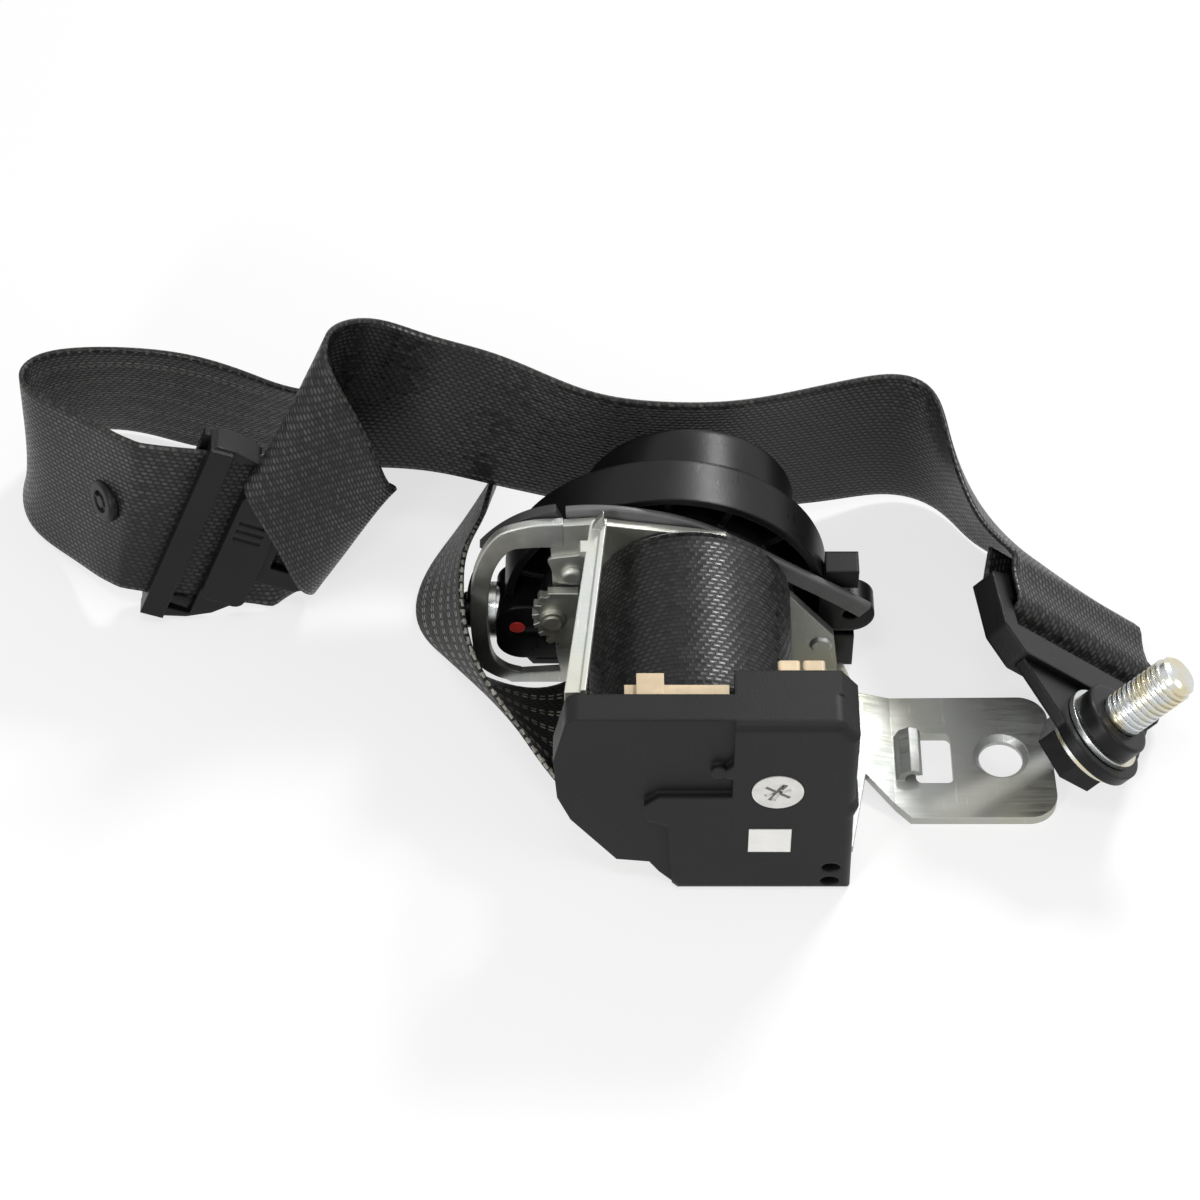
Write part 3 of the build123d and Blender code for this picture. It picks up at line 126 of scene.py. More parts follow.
# Centre of the cover's disc and half the width and length of its cross, in metres
DISC_X, DISC_Z = -0.0562, 0.0386
CROSS_HALF, CROSS_REACH = 0.00042, 0.0034
HEAD_TOP = -0.0036  # of the anchor bolt, along its axis


class Tree:
    """A node tree and short calls that add nodes to it."""

    def __init__(self, tree):
        self.tree = tree
        tree.nodes.clear()

    def put(self, socket, value):
        if isinstance(value, bpy.types.NodeSocket):
            self.tree.links.new(value, socket)
        else:
            socket.default_value = value

    def node(self, kind, inputs=(), **props):
        n = self.tree.nodes.new(kind)
        for key, value in props.items():
            setattr(n, key, value)
        for key, value in inputs:
            self.put(n.inputs[key], value)
        return n

    def math(self, op, a, b=0.0):
        return self.node("ShaderNodeMath", [(0, a), (1, b)], operation=op).outputs[0]

    def plus(self, a, b):
        return self.math("ADD", a, b)

    def minus(self, a, b):
        return self.math("SUBTRACT", a, b)

    def times(self, a, b):
        return self.math("MULTIPLY", a, b)

    def over(self, a, b):
        return self.math("DIVIDE", a, b)

    def larger(self, a, b):
        return self.math("MAXIMUM", a, b)

    def above(self, a, b):
        return self.math("GREATER_THAN", a, b)

    def below(self, a, b):
        return self.math("LESS_THAN", a, b)

    def absolute(self, a):
        return self.math("ABSOLUTE", a)

    def direct(self):
        """1 for camera, glossy and transmission rays, 0 for the others."""
        rays = self.node("ShaderNodeLightPath").outputs
        through = self.larger(rays["Is Glossy Ray"], rays["Is Transmission Ray"])
        return self.larger(rays["Is Camera Ray"], through)

    def blend(self, share, first, second):
        return self.node("ShaderNodeMixShader", [(0, share), (1, first), (2, second)]).outputs[0]


class Shader(Tree):
    """One Principled material."""

    def __init__(self, name, metal=0.0, spec=0.5):
        self.mat = bpy.data.materials.new(name)
        self.mat.use_nodes = True
        super().__init__(self.mat.node_tree)
        self.out = self.node("ShaderNodeOutputMaterial")
        self.bsdf = self.node("ShaderNodeBsdfPrincipled")
        self.put(self.out.inputs["Surface"], self.bsdf.outputs[0])
        self.set("Metallic", metal)
        self.set("Specular IOR Level", spec)

    def set(self, name, value):
        self.put(self.bsdf.inputs[name], value)

    def coords(self, scale=(1, 1, 1), rotation=(0, 0, 0)):
        source = self.node("ShaderNodeTexCoord").outputs["Object"]
        return self.node("ShaderNodeMapping", [
            ("Vector", source), ("Scale", scale), ("Rotation", rotation)]).outputs[0]

    def separate(self, vector):
        return self.node("ShaderNodeSeparateXYZ", [("Vector", vector)]).outputs

    def combine(self, x, y):
        return self.node("ShaderNodeCombineXYZ", [("X", x), ("Y", y)]).outputs[0]

    def noise(self, scale, detail, vector=None):
        n = self.node("ShaderNodeTexNoise", [
            ("Vector", vector or self.coords()), ("Scale", scale),
            ("Detail", detail), ("Roughness", 0.55)])
        return n.outputs["Fac"]

    def streaks(self, x, y):
        """Soft noise over a plane whose axes have their own scales."""
        n = self.node("ShaderNodeTexNoise", [
            ("Vector", self.combine(x, y)), ("Scale", 1.0), ("Detail", 1.0)])
        return n.outputs[0]

    def dashes(self, along, pitch, gap):
        """1 on the dashes of a line, 0 in the gaps, which take that share of the pitch."""
        return self.above(self.math("FRACT", self.over(along, pitch)), gap)

    def span(self, value, low, high, out_low, out_high):
        n = self.node("ShaderNodeMapRange", [
            ("Value", value), ("From Min", low), ("From Max", high),
            ("To Min", out_low), ("To Max", out_high)])
        return n.outputs["Result"]

    def mix(self, share, a, b):
        n = self.node("ShaderNodeMix", data_type="RGBA")
        self.put(n.inputs["Factor"], share)
        for socket, value in ((n.inputs[6], a), (n.inputs[7], b)):
            linked = isinstance(value, bpy.types.NodeSocket)
            self.put(socket, value if linked else (*value, 1.0))
        return n.outputs[2]

    def edge(self, radius):
        """Normal that rounds the sharp edges by a small radius."""
        return self.node("ShaderNodeBevel", [("Radius", radius)], samples=4).outputs[0]

    def bump(self, height, distance, strength, normal=None):
        n = self.node("ShaderNodeBump", [
            ("Height", height), ("Distance", distance), ("Strength", strength)])
        if normal is not None:
            self.put(n.inputs["Normal"], normal)
        self.set("Normal", n.outputs[0])
        return n.outputs[0]


def zinc_steel():
    """Zinc plated sheet: warm and green bloom, brushed gloss and fine scratches."""
    s = Shader("zinc_steel", metal=1.0)
    broad = s.noise(22.0, 3.0)
    patch = s.noise(95.0, 4.0)
    brushed = s.noise(120.0, 4.0, s.coords(scale=(1.0, 14.0, 1.0), rotation=(0, 0, 0.5)))
    marks = s.noise(160.0, 2.0, s.coords(scale=(9.0, 0.6, 1.0), rotation=(0, 0, -0.35)))
    scratch = s.span(marks, 0.66, 0.70, 0.0, 1.0)
    warm = s.span(broad, 0.46, 0.66, 0.0, 0.75)
    bloom = s.mix(warm, (0.43, 0.44, 0.425), (0.46, 0.445, 0.36))
    bloom = s.mix(s.span(patch, 0.56, 0.72, 0.0, 0.4), bloom, (0.36, 0.41, 0.36))
    s.set("Base Color", s.mix(s.times(scratch, 0.35), bloom, (0.62, 0.63, 0.60)))
    grain = s.plus(s.span(brushed, 0.3, 0.7, 0.40, 0.56), s.times(scratch, -0.08))
    s.set("Roughness", s.plus(grain, s.span(patch, 0.35, 0.65, -0.04, 0.07)))
    waves = s.bump(s.noise(130.0, 2.0), 0.00008, 0.5, s.edge(0.0004))
    fine = s.plus(s.noise(1400.0, 3.0), s.times(scratch, -0.6))
    s.bump(fine, 0.00002, 0.6, waves)
    return s.mat


def bright_steel():
    """Washers and small plated parts: brighter, with a warm tint in patches."""
    s = Shader("bright_steel", metal=1.0)
    warm = s.span(s.noise(60.0, 3.0), 0.44, 0.66, 0.0, 1.0)
    s.set("Base Color", s.mix(warm, (0.60, 0.62, 0.62), (0.64, 0.60, 0.46)))
    s.set("Roughness", s.span(s.noise(420.0, 3.0), 0.3, 0.7, 0.20, 0.34))
    s.bump(s.noise(900.0, 2.0), 0.00002, 0.5, s.edge(0.0003))
    return s.mat


def moulded(name, color, rough, spec, grain, scale):
    """Injection moulded plastic: a fine spark grain, slow gloss changes, handling marks."""
    s = Shader(name, spec=spec)
    slow = s.noise(38.0, 3.0)
    dark = tuple(c * 0.82 for c in color)
    light = tuple(c * 1.22 for c in color)
    s.set("Base Color", s.mix(s.span(slow, 0.35, 0.65, 0.0, 1.0), dark, light))
    marks = s.noise(210.0, 2.0, s.coords(scale=(7.0, 0.7, 0.7), rotation=(0.3, 0.2, 0.9)))
    rub = s.span(marks, 0.66, 0.72, 0.0, 0.10)
    s.set("Roughness", s.minus(s.span(slow, 0.3, 0.7, rough - 0.05, rough + 0.06), rub))
    waves = s.bump(s.noise(75.0, 1.0), 0.00012, 0.35, s.edge(0.0009))
    s.bump(s.noise(scale, 2.0), grain, 0.9, waves)
    return s.mat


def plain(name, color, rough, metal=0.0, spread=0.12, bump=0.00002):
    """Small parts: slow colour and gloss variation with a light surface grain."""
    s = Shader(name, metal=metal)
    tone = s.span(s.noise(140.0, 4.0), 0.35, 0.65, 0.0, 1.0)
    dark = tuple(c * (1 - spread) for c in color)
    light = tuple(min(1.0, c * (1 + spread)) for c in color)
    s.set("Base Color", s.mix(tone, dark, light))
    s.set("Roughness", s.span(s.noise(560.0, 2.0), 0.3, 0.7, rough - 0.06, rough + 0.06))
    s.bump(s.noise(1260.0, 2.0), bump, 0.8, s.edge(0.0004))
    return s.mat


def weave():
    """Seat belt webbing. U runs across and V along, in metres; the reverse adds 0.1 to U."""
    s = Shader("black_webbing", spec=0.27)
    u, v, _ = s.separate(s.node("ShaderNodeUVMap").outputs[0])
    back = s.above(u, 0.08)
    across = s.minus(u, s.times(back, REVERSE * MM))

    # Warp floats in diagonal rows, each a bundle of shiny filaments
    column = s.over(across, YARN)
    column_id = s.math("FLOOR", column)
    row = s.plus(s.over(v, FLOAT), s.times(column_id, FLOAT_SHIFT))
    in_column, in_row = s.math("FRACT", column), s.math("FRACT", row)
    hump_x = s.math("SINE", s.times(in_column, math.pi))
    hump_y = s.math("SINE", s.times(in_row, math.pi))
    yarn = s.times(s.math("POWER", hump_x, 0.9), s.math("POWER", hump_y, 0.6))
    cell = s.combine(column_id, s.math("FLOOR", row))
    random = s.node("ShaderNodeTexWhiteNoise", [("Vector", cell)],
                    noise_dimensions="2D").outputs[0]
    filament = s.streaks(s.times(across, 9000.0), s.times(v, 1100.0))
    # Slow bands along the strap, used below for painted sheen
    slow = s.streaks(s.times(across, 8.0), s.times(v, 26.0))

    # Pairs of dashed lines: strong near the spool, fainter on the reverse, then none
    start = s.span(v, *FADE, 1.0, 0.0)
    end = s.span(v, REVERSE_LINES_END - 0.02, REVERSE_LINES_END, 0.5, 0.0)
    dull = s.larger(start, s.times(back, end))
    lane = s.math("FRACT", s.over(s.minus(across, PAIR_START), PAIR))
    first, second = (s.below(s.absolute(s.minus(lane, at)), LINE_HALF) for at in PAIR_LINES)
    lines = s.times(s.larger(first, second), s.dashes(v, DASH, DASH_GAP))
    low, high = SELVEDGE
    rims = s.larger(s.below(across, low), s.above(across, high))
    stitches = s.times(rims, s.dashes(v, STITCH, STITCH_GAP))
    pale = s.larger(s.times(lines, dull), s.times(stitches, s.plus(0.08, s.times(dull, 0.6))))

    # Painted glints and sheen: the tops of the floats are painted lighter grey, at random per
    # float and in slow painted sheen bands along the strap, less on the dull lines
    painted_glint = s.times(s.math("POWER", yarn, 1.6), s.span(random, 0, 1, 0.2, 1.0))
    painted_glint = s.times(painted_glint, s.span(slow, 0.38, 0.62, 0.30, 1.0))
    painted_glint = s.times(painted_glint, s.span(dull, 0.0, 1.0, 1.0, 0.35))
    base = s.mix(painted_glint, (0.0008, 0.0008, 0.0010), (0.085, 0.085, 0.082))
    pale = s.times(pale, s.span(random, 0, 1, 0.35, 1.0))
    s.set("Base Color", s.mix(pale, base, (0.36, 0.348, 0.30)))
    gloss = s.plus(s.span(yarn, 0.0, 1.0, 0.50, 0.19), s.span(random, 0.0, 1.0, 0.0, 0.12))
    s.set("Roughness", s.plus(gloss, s.times(dull, 0.20)))
    tilt = s.times(s.minus(random, 0.5), s.minus(in_row, 0.5))
    relief = s.bump(s.plus(yarn, s.times(tilt, 0.8)), 0.00008, 0.9)
    s.bump(filament, 0.00002, 0.4, relief)
    return s.mat


def disc_finish():
    """Pale stamped disc, with painted shade in its cross recess."""
    s = Shader("disc_steel", metal=0.35)
    x, _, z = s.separate(s.coords())
    right, up = s.minus(x, DISC_X), s.minus(z, DISC_Z)
    one = s.absolute(s.plus(s.times(right, 0.82), s.times(up, -0.57)))
    two = s.absolute(s.plus(s.times(right, 0.57), s.times(up, 0.82)))
    cross = s.times(s.below(s.math("MINIMUM", one, two), CROSS_HALF),
                    s.below(s.larger(one, two), CROSS_REACH))
    tone = s.span(s.noise(260.0, 3.0), 0.35, 0.65, 0.0, 1.0)
    base = s.mix(tone, (0.60, 0.59, 0.56), (0.70, 0.69, 0.67))
    # The cross recess is painted dark grey as shade
    s.set("Base Color", s.mix(cross, base, (0.12, 0.12, 0.12)))
    s.set("Roughness", s.span(s.noise(500.0, 2.0), 0.3, 0.7, 0.38, 0.5))
    s.bump(s.noise(900.0, 2.0), 0.00002, 0.6)
    return s.mat


def bolt_finish():
    """Zinc plated thread, painted near black as shade under the cup, over the bolt's hex end."""
    s = Shader("bolt_steel", metal=1.0)
    away = s.node("ShaderNodeVectorMath", [(0, s.coords()), (1, tuple(ANCHOR_AT * MM))],
                  operation="SUBTRACT").outputs[0]
    height = s.node("ShaderNodeVectorMath", [(0, away), (1, tuple(ANCHOR_Z))],
                    operation="DOT_PRODUCT").outputs["Value"]
    shade_on_head = s.below(height, HEAD_TOP)
    warm = s.span(s.noise(180.0, 3.0), 0.42, 0.64, 0.0, 1.0)
    zinc = s.mix(warm, (0.62, 0.64, 0.64), (0.66, 0.60, 0.42))
    # Below the cup the bolt is painted near black as shade
    s.set("Base Color", s.mix(shade_on_head, zinc, (0.020, 0.020, 0.021)))
    gloss = s.span(s.noise(420.0, 3.0), 0.3, 0.7, 0.20, 0.34)
    s.set("Roughness", s.plus(gloss, s.times(shade_on_head, 0.16)))
    s.bump(s.noise(900.0, 2.0), 0.00002, 0.5, s.edge(0.0003))
    return s.mat


finish = {
    "zinc_steel": zinc_steel(),
    "bright_steel": bright_steel(),
    "charcoal_plastic": moulded("charcoal_plastic", (0.0085, 0.0087, 0.0092), rough=0.46,
                                spec=0.20, grain=0.00004, scale=2100.0),
    "black_plastic": moulded("black_plastic", (0.0038, 0.0038, 0.0041), rough=0.36,
                             spec=0.22, grain=0.00002, scale=1500.0),
    "black_webbing": weave(),
    "grey_cable": plain("grey_cable", (0.105, 0.105, 0.108), 0.42),
    "dark_sleeve": plain("dark_sleeve", (0.026, 0.026, 0.027), 0.5),
    "cream_plastic": plain("cream_plastic", (0.62, 0.49, 0.32), 0.42),
    "white_label": plain("white_label", (0.78, 0.77, 0.74), 0.5, spread=0.05),
    "red_mark": plain("red_mark", (0.90, 0.06, 0.055), 0.35, spread=0.06),
    "spring_steel": plain("spring_steel", (0.32, 0.33, 0.36), 0.3, metal=1.0),
    "cast_grey": plain("cast_grey", (0.45, 0.46, 0.47), 0.42, metal=1.0, bump=0.00005),
    "disc_steel": disc_finish(),
    "bolt_steel": bolt_finish(),
}
# Nodes whose finish isn't the one that their slot names. The tongue blade is finished black as
# painted shade, and the bolt's and the disc's finishes paint shade in places.
OWN_FINISH = {"anchor_bolt": "bolt_steel", "tongue_blade": "black_plastic",
              "cover_disc": "disc_steel"}
for entry in frame["record"]["subparts"]:
    name = entry["node"]
    for slot in nodes[name].material_slots:
        slot.material = finish[OWN_FINISH.get(name, entry["material_slot"])]


# The webbing's way through the tongue and round the anchor's ring
ANCHOR_X = square_to(ANCHOR_Z, (0.73, 0.08, -0.68))
ANCHOR_R = np.cross(ANCHOR_X, ANCHOR_Z)
TONGUE_Y = unit((0.38, 0.12, 0.917))
TONGUE_X = square_to(TONGUE_Y, (0.93, 0.0, -0.37))
TURN = math.radians(12.0)  # of the strap in the tongue's slot
STRAP_X = math.cos(TURN) * TONGUE_X + math.sin(TURN) * TONGUE_Y
STRAP_Y = -math.sin(TURN) * TONGUE_X + math.cos(TURN) * TONGUE_Y
STRAP_AT = np.array((-197.0, 51.6, 29.6)) - 0.6 * TONGUE_Y


def in_tongue(s):
    """Selvedge points at s along the straight run in the tongue."""
    middle = STRAP_AT + s * STRAP_X
    return tuple(middle - WIDTH / 2 * STRAP_Y), tuple(middle + WIDTH / 2 * STRAP_Y)


def on_anchor(r, z):
    """Selvedge points at the anchor, r out from its ring and z along the bolt."""
    middle = ANCHOR_AT + r * ANCHOR_R + z * ANCHOR_Z
    return tuple(middle + WIDTH / 2 * ANCHOR_X), tuple(middle - WIDTH / 2 * ANCHOR_X)


# Listed one by one: a point on the lower selvedge, one on the upper, how firmly they are held
STATIONS = [
    ((-75.4, 22.5, 9.6), (-75.4, -24.5, 9.6), 1.0),
    ((-90.0, 22.5, 9.2), (-90.0, -24.5, 9.6), 1.0),
    ((-100.0, 22.0, 7.0), (-100.0, -23.8, 13.0), 0.5),
    ((-108.4, 20.0, 1.8), (-108.4, -20.0, 23.0), 0.3),
    ((-122.0, 22.0, 1.3), (-116.0, -8.0, 25.5), 0.2),
    ((-133.0, 29.0, 1.2), (-124.0, 2.0, 29.0), 0.1),
    ((-140.0, 38.0, 1.2), (-128.5, 12.0, 32.0), 0.1),
    ((-142.0, 47.0, 1.2), (-129.6, 22.0, 34.0), 0.1),
    ((-139.0, 60.0, 1.2), (-129.6, 35.0, 36.0), 0.1),
    ((-131.0, 75.0, 1.2), (-125.0, 49.0, 33.5), 0.5),
    ((-120.5, 98.0, 1.2), (-123.6, 63.0, 28.4), 0.8),
    ((-118.0, 103.0, 1.2), (-121.0, 71.0, 29.5), 0.8),
    ((-121.0, 105.0, 1.2), (-121.0, 79.0, 34.5), 0.6),
    ((-128.5, 103.0, 1.2), (-126.0, 82.0, 39.5), 0.4),
    ((-137.5, 100.0, 1.0), (-135.5, 81.5, 42.5), 0.15),
    ((-151.0, 96.8, 1.0), (-146.0, 78.5, 43.5), 0.1),
    ((-173.9, 99.2, 1.0), (-173.1, 81.5, 44.0), 0.1),
    ((-189.5, 100.3, 1.0), (-181.5, 85.5, 44.5), 0.1),
    ((-202.6, 102.7, 1.0), (-191.7, 90.0, 44.7), 0.1),
    ((-209.3, 105.9, 1.0), (-199.5, 92.7, 44.8), 0.1),
    ((-222.3, 109.1, 1.0), (-214.8, 93.6, 46.2), 0.1),
    ((-235.0, 107.5, 1.0), (-228.0, 93.0, 46.4), 0.1),
    ((-242.3, 99.4, 1.0), (-236.3, 90.5, 46.5), 0.1),
    ((-245.0, 89.5, 1.0), (-239.5, 85.2, 46.6), 0.1),
    ((-243.8, 79.6, 1.0), (-238.4, 80.0, 46.8), 0.1),
    ((-240.8, 72.9, 1.2), (-234.3, 76.6, 47.0), 0.1),
    ((-234.4, 67.6, 1.8), (-227.6, 72.4, 48.0), 0.1),
    ((-225.2, 58.6, 4.6), (-217.4, 63.6, 50.6), 0.15),
    (*in_tongue(-14.5), 1.0),
    (*in_tongue(23.0), 1.0),
    ((-170.0, 54.9, 2.0), (-147.4, 53.0, 41.5), 0.3),
    ((-165.5, 50.4, 4.4), (-143.6, 49.0, 44.6), 0.3),
    ((-169.6, 44.4, 8.6), (-147.0, 44.0, 47.4), 0.3),
    ((-172.4, 43.2, 23.4), (-150.4, 45.5, 63.4), 0.2),
    ((-176.4, 44.2, 36.9), (-156.4, 48.2, 74.9), 0.1),
    ((-180.4, 46.0, 47.6), (-160.4, 50.3, 85.4), 0.1),
    ((-183.0, 47.4, 51.0), (-160.6, 52.6, 88.6), 0.1),
    ((-175.5, 54.8, 47.0), (-160.0, 60.4, 86.0), 0.1),
    ((-164.5, 61.4, 38.5), (-154.6, 67.4, 82.4), 0.1),
    ((-149.5, 66.0, 33.5), (-147.0, 69.4, 80.0), 0.1),
    ((-135.7, 65.5, 33.0), (-136.2, 64.5, 80.0), 0.1),
    ((-123.4, 63.8, 30.0), (-122.3, 62.9, 77.0), 0.1),
    ((-110.0, 63.6, 26.0), (-109.4, 59.0, 72.7), 0.1),
    ((-96.4, 64.1, 21.0), (-96.4, 57.0, 67.3), 0.1),
    ((-71.4, 70.3, 14.0), (-72.5, 61.4, 60.0), 0.1),
    ((-56.1, 73.9, 10.0), (-57.9, 66.5, 56.4), 0.1),
    ((-37.9, 80.3, 5.0), (-40.4, 75.6, 51.7), 0.1),
    ((-21.0, 86.2, 2.0), (-24.5, 82.6, 48.2), 0.1),
    ((-10.9, 83.0, 1.2), (-16.7, 81.7, 47.4), 0.1),
    ((-5.6, 75.5, 1.2), (-13.4, 76.0, 47.1), 0.1),
    ((-2.8, 70.0, 1.2), (-12.4, 65.7, 46.7), 0.1),
    ((3.6, 65.0, 1.2), (-10.4, 52.7, 45.5), 0.1),
    ((13.0, 58.0, 1.6), (-7.2, 42.0, 44.2), 0.1),
    ((24.6, 48.0, 3.2), (-3.4, 35.5, 43.6), 0.3),
    ((31.5, 40.5, 6.8), (-0.8, 32.0, 43.4), 0.6),
    (*on_anchor(-16.0, 5.3), 1.0),
    (*on_anchor(-12.0, 4.5), 1.0),
    (*on_anchor(-5.0, 4.5), 1.0),
    (*on_anchor(-2.2, 3.6), 1.0),
    (*on_anchor(-1.9, 0.0), 1.0),
    (*on_anchor(-2.2, -3.6), 1.0),
    (*on_anchor(-5.0, -4.5), 1.0),
    (*on_anchor(-12.0, -4.5), 1.0),
    (*on_anchor(-16.5, -2.9), 1.0),
    (*on_anchor(-23.0, 0.4), 1.0),
]
ROW_STEP = 3.4
COLUMNS = 13
FINE_STEPS = 6000
ROUNDS = 400
ALONG, ACROSS, SKEW = 0.7, 0.9, 0.10  # how stiff the cloth is each way, and in shear
BEND_ALONG, BEND_ACROSS = 0.12, 0.35
FIRM = 0.9  # rows held more firmly than this stay where they are placed
ROW_PULL = 0.004  # of the other rows to where they are placed
LEAST_EDGE_PULL = 0.04
CROWNED = slice(7, 70)  # rows that start bulged, where the selvedges are too near
LOWEST = 1.0  # least height of the strip's middle over the floor
MOST_AWAY = 7.0  # from the line between the selvedges
SMOOTHINGS, SMOOTHING = 5, 0.25  # passes at the end, on the rows that aren't firm
RIM_OUT = 0.35  # how far the rim stands out from the selvedge


def smooth_line(points, knots, at):
    """Catmull-Rom line through points at the given knots, read at the places in at."""
    slopes = np.empty_like(points)
    slopes[1:-1] = (points[2:] - points[:-2]) / (knots[2:] - knots[:-2])[:, None]
    slopes[0] = (points[1] - points[0]) / (knots[1] - knots[0])
    slopes[-1] = (points[-1] - points[-2]) / (knots[-1] - knots[-2])
    i = np.clip(np.searchsorted(knots, at, side="right") - 1, 0, len(knots) - 2)
    gap = (knots[i + 1] - knots[i])[:, None]
    t = ((at - knots[i])[:, None]) / gap
    a = 2 * t**3 - 3 * t**2 + 1
    b = t**3 - 2 * t**2 + t
    c = -2 * t**3 + 3 * t**2
    d = t**3 - t**2
    return a * points[i] + b * gap * slopes[i] + c * points[i + 1] + d * gap * slopes[i + 1]


def rule_rows():
    """Selvedge points and hold of every row along the strip, and the strip's length."""
    low, high, hold = (np.array(values, float) for values in zip(*STATIONS))
    knots = distances((gaps(low) + gaps(high)) / 2)
    fine = np.linspace(0, knots[-1], FINE_STEPS)
    steps = (gaps(smooth_line(low, knots, fine)) + gaps(smooth_line(high, knots, fine))) / 2
    length = distances(steps)
    count = int(round(length[-1] / ROW_STEP)) + 1
    places = np.interp(np.linspace(0, length[-1], count), length, fine)
    held = np.interp(places, knots, hold)
    return smooth_line(low, knots, places), smooth_line(high, knots, places), held, length[-1]


def pull(a, b, rest, strength):
    """Moves two arrays of points towards their rest distance from each other."""
    line = b - a
    size = np.linalg.norm(line, axis=-1, keepdims=True)
    move = line * ((size - rest) / np.maximum(size, 1e-9) * 0.5 * strength)
    a += move
    b -= move


def relax(low, high, held):
    """Strip of constant width between two selvedge lines, relaxed as woven cloth."""
    across = np.linspace(0, 1, COLUMNS)[None, :, None]
    flat = low[:, None, :] * (1 - across) + high[:, None, :] * across
    grid = flat.copy()

    chord = np.minimum(np.linalg.norm(high - low, axis=1), WIDTH)
    side = np.cross(np.gradient((low + high) / 2, axis=0), high - low)
    side /= np.linalg.norm(side, axis=1)[:, None]
    side *= -np.sign(side[:, :1])
    rise = np.sqrt(np.clip(3 / 8 * (WIDTH**2 - chord**2), 0, None))
    crown = 4 * across * (1 - across)
    grid[CROWNED] += (side * rise[:, None])[CROWNED, None, :] * crown

    gap = WIDTH / (COLUMNS - 1)
    skew = math.hypot(ROW_STEP, gap)
    edge_pull = np.clip(held, LEAST_EDGE_PULL, 1.0)[:, None, None]
    row_pull = np.where(held > FIRM, 1.0, ROW_PULL)[:, None, None]
    for _ in range(ROUNDS):
        for start in (0, 1):
            pull(grid[start:-1:2], grid[start + 1::2], ROW_STEP, ALONG)
            pull(grid[:, start:-1:2], grid[:, start + 1::2], gap, ACROSS)
        pull(grid[:-1, :-1], grid[1:, 1:], skew, SKEW)
        pull(grid[1:, :-1], grid[:-1, 1:], skew, SKEW)
        grid[1:-1] += BEND_ALONG * ((grid[:-2] + grid[2:]) / 2 - grid[1:-1])
        bend = (grid[:, :-2] + grid[:, 2:]) / 2 - grid[:, 1:-1]
        grid[:, 1:-1] += BEND_ACROSS * bend
        off = flat - grid
        grid[:, :1] += edge_pull * off[:, :1]
        grid[:, -1:] += edge_pull * off[:, -1:]
        grid += row_pull * off
        far = np.linalg.norm(grid - flat, axis=-1, keepdims=True)
        grid = flat + (grid - flat) * np.minimum(1.0, MOST_AWAY / np.maximum(far, 1e-9))
        grid[..., 2] = np.maximum(grid[..., 2], LOWEST)
    loose = (held < FIRM)[1:-1, None, None]
    for _ in range(SMOOTHINGS):
        grid[1:-1] += loose * SMOOTHING * (grid[:-2] + grid[2:] - 2 * grid[1:-1])
    return grid


def refine(grid, times, axis):
    """Cubic refinement of a grid of points along one axis."""
    lines = np.moveaxis(grid, axis, 0)
    knots = np.arange(len(lines), dtype=float)
    at = np.linspace(0, len(lines) - 1, (len(lines) - 1) * times + 1)
    flat = lines.reshape(len(lines), -1)
    return np.moveaxis(smooth_line(flat, knots, at).reshape(len(at), *lines.shape[1:]), 0, axis)


def mesh_object(name, points, faces, material):
    """New object from points in millimetres."""
    mesh = bpy.data.meshes.new(name)
    mesh.from_pydata((points.reshape(-1, 3) * MM).tolist(), [], faces)
    mesh.materials.append(material)
    mesh.update()
    return add_object(name, mesh)


def strip_object(name, grid, thick, along, width):
    """Closed strip round a grid of mid-surface points, with its UVs in metres."""
    rows, cols = grid.shape[:2]
    du = np.gradient(grid, axis=1)
    dv = np.gradient(grid, axis=0)
    normal = np.cross(dv, du)
    normal /= np.maximum(np.linalg.norm(normal, axis=-1, keepdims=True), 1e-9)
    outward = du / np.linalg.norm(du, axis=-1, keepdims=True)
    front = grid + normal * thick / 2
    back = grid - normal * thick / 2
    rim_low = grid[:, :1] - outward[:, :1] * RIM_OUT
    rim_high = grid[:, -1:] + outward[:, -1:] * RIM_OUT
    ring = np.concatenate([front, rim_high, back[:, ::-1], rim_low], axis=1)
    count = ring.shape[1]
    u_front = np.linspace(0, width, cols)
    us = np.concatenate([u_front, [width + RIM], REVERSE + u_front[::-1], [REVERSE - RIM]])

    faces, uvs = [], []
    for r in range(rows - 1):
        for c in range(count):
            n = (c + 1) % count
            faces.append((r * count + c, r * count + n, (r + 1) * count + n, (r + 1) * count + c))
            a, b = us[c], us[n]
            if abs(b - a) > REVERSE / 5:  # a seam between the faces, in the middle of a rim
                b = a + RIM if a < REVERSE / 2 else a - RIM
            uvs += [(a, along[r]), (b, along[r]), (b, along[r + 1]), (a, along[r + 1])]
    for r, flip in ((0, True), (rows - 1, False)):
        base = r * count
        for c in range(cols - 1):
            other = 2 * cols - c
            quad = (base + c, base + c + 1, base + other - 1, base + other)
            faces.append(quad[::-1] if flip else quad)
            uvs += [(us[c], along[r])] * 4
        for tip, near, far in ((cols, cols - 1, cols + 1), (2 * cols + 1, 2 * cols, 0)):
            tri = (base + near, base + tip, base + far)
            faces.append(tri[::-1] if flip else tri)
            uvs += [(us[near], along[r])] * 3

    obj = mesh_object(name, ring, faces, finish["black_webbing"])
    layer = obj.data.uv_layers.new(name="UVMap")
    layer.data.foreach_set("uv", (np.array(uvs) * MM).astype(np.float32).ravel())
    obj.data.polygons.foreach_set("use_smooth", [True] * len(faces))
    obj.data.update()
    return obj


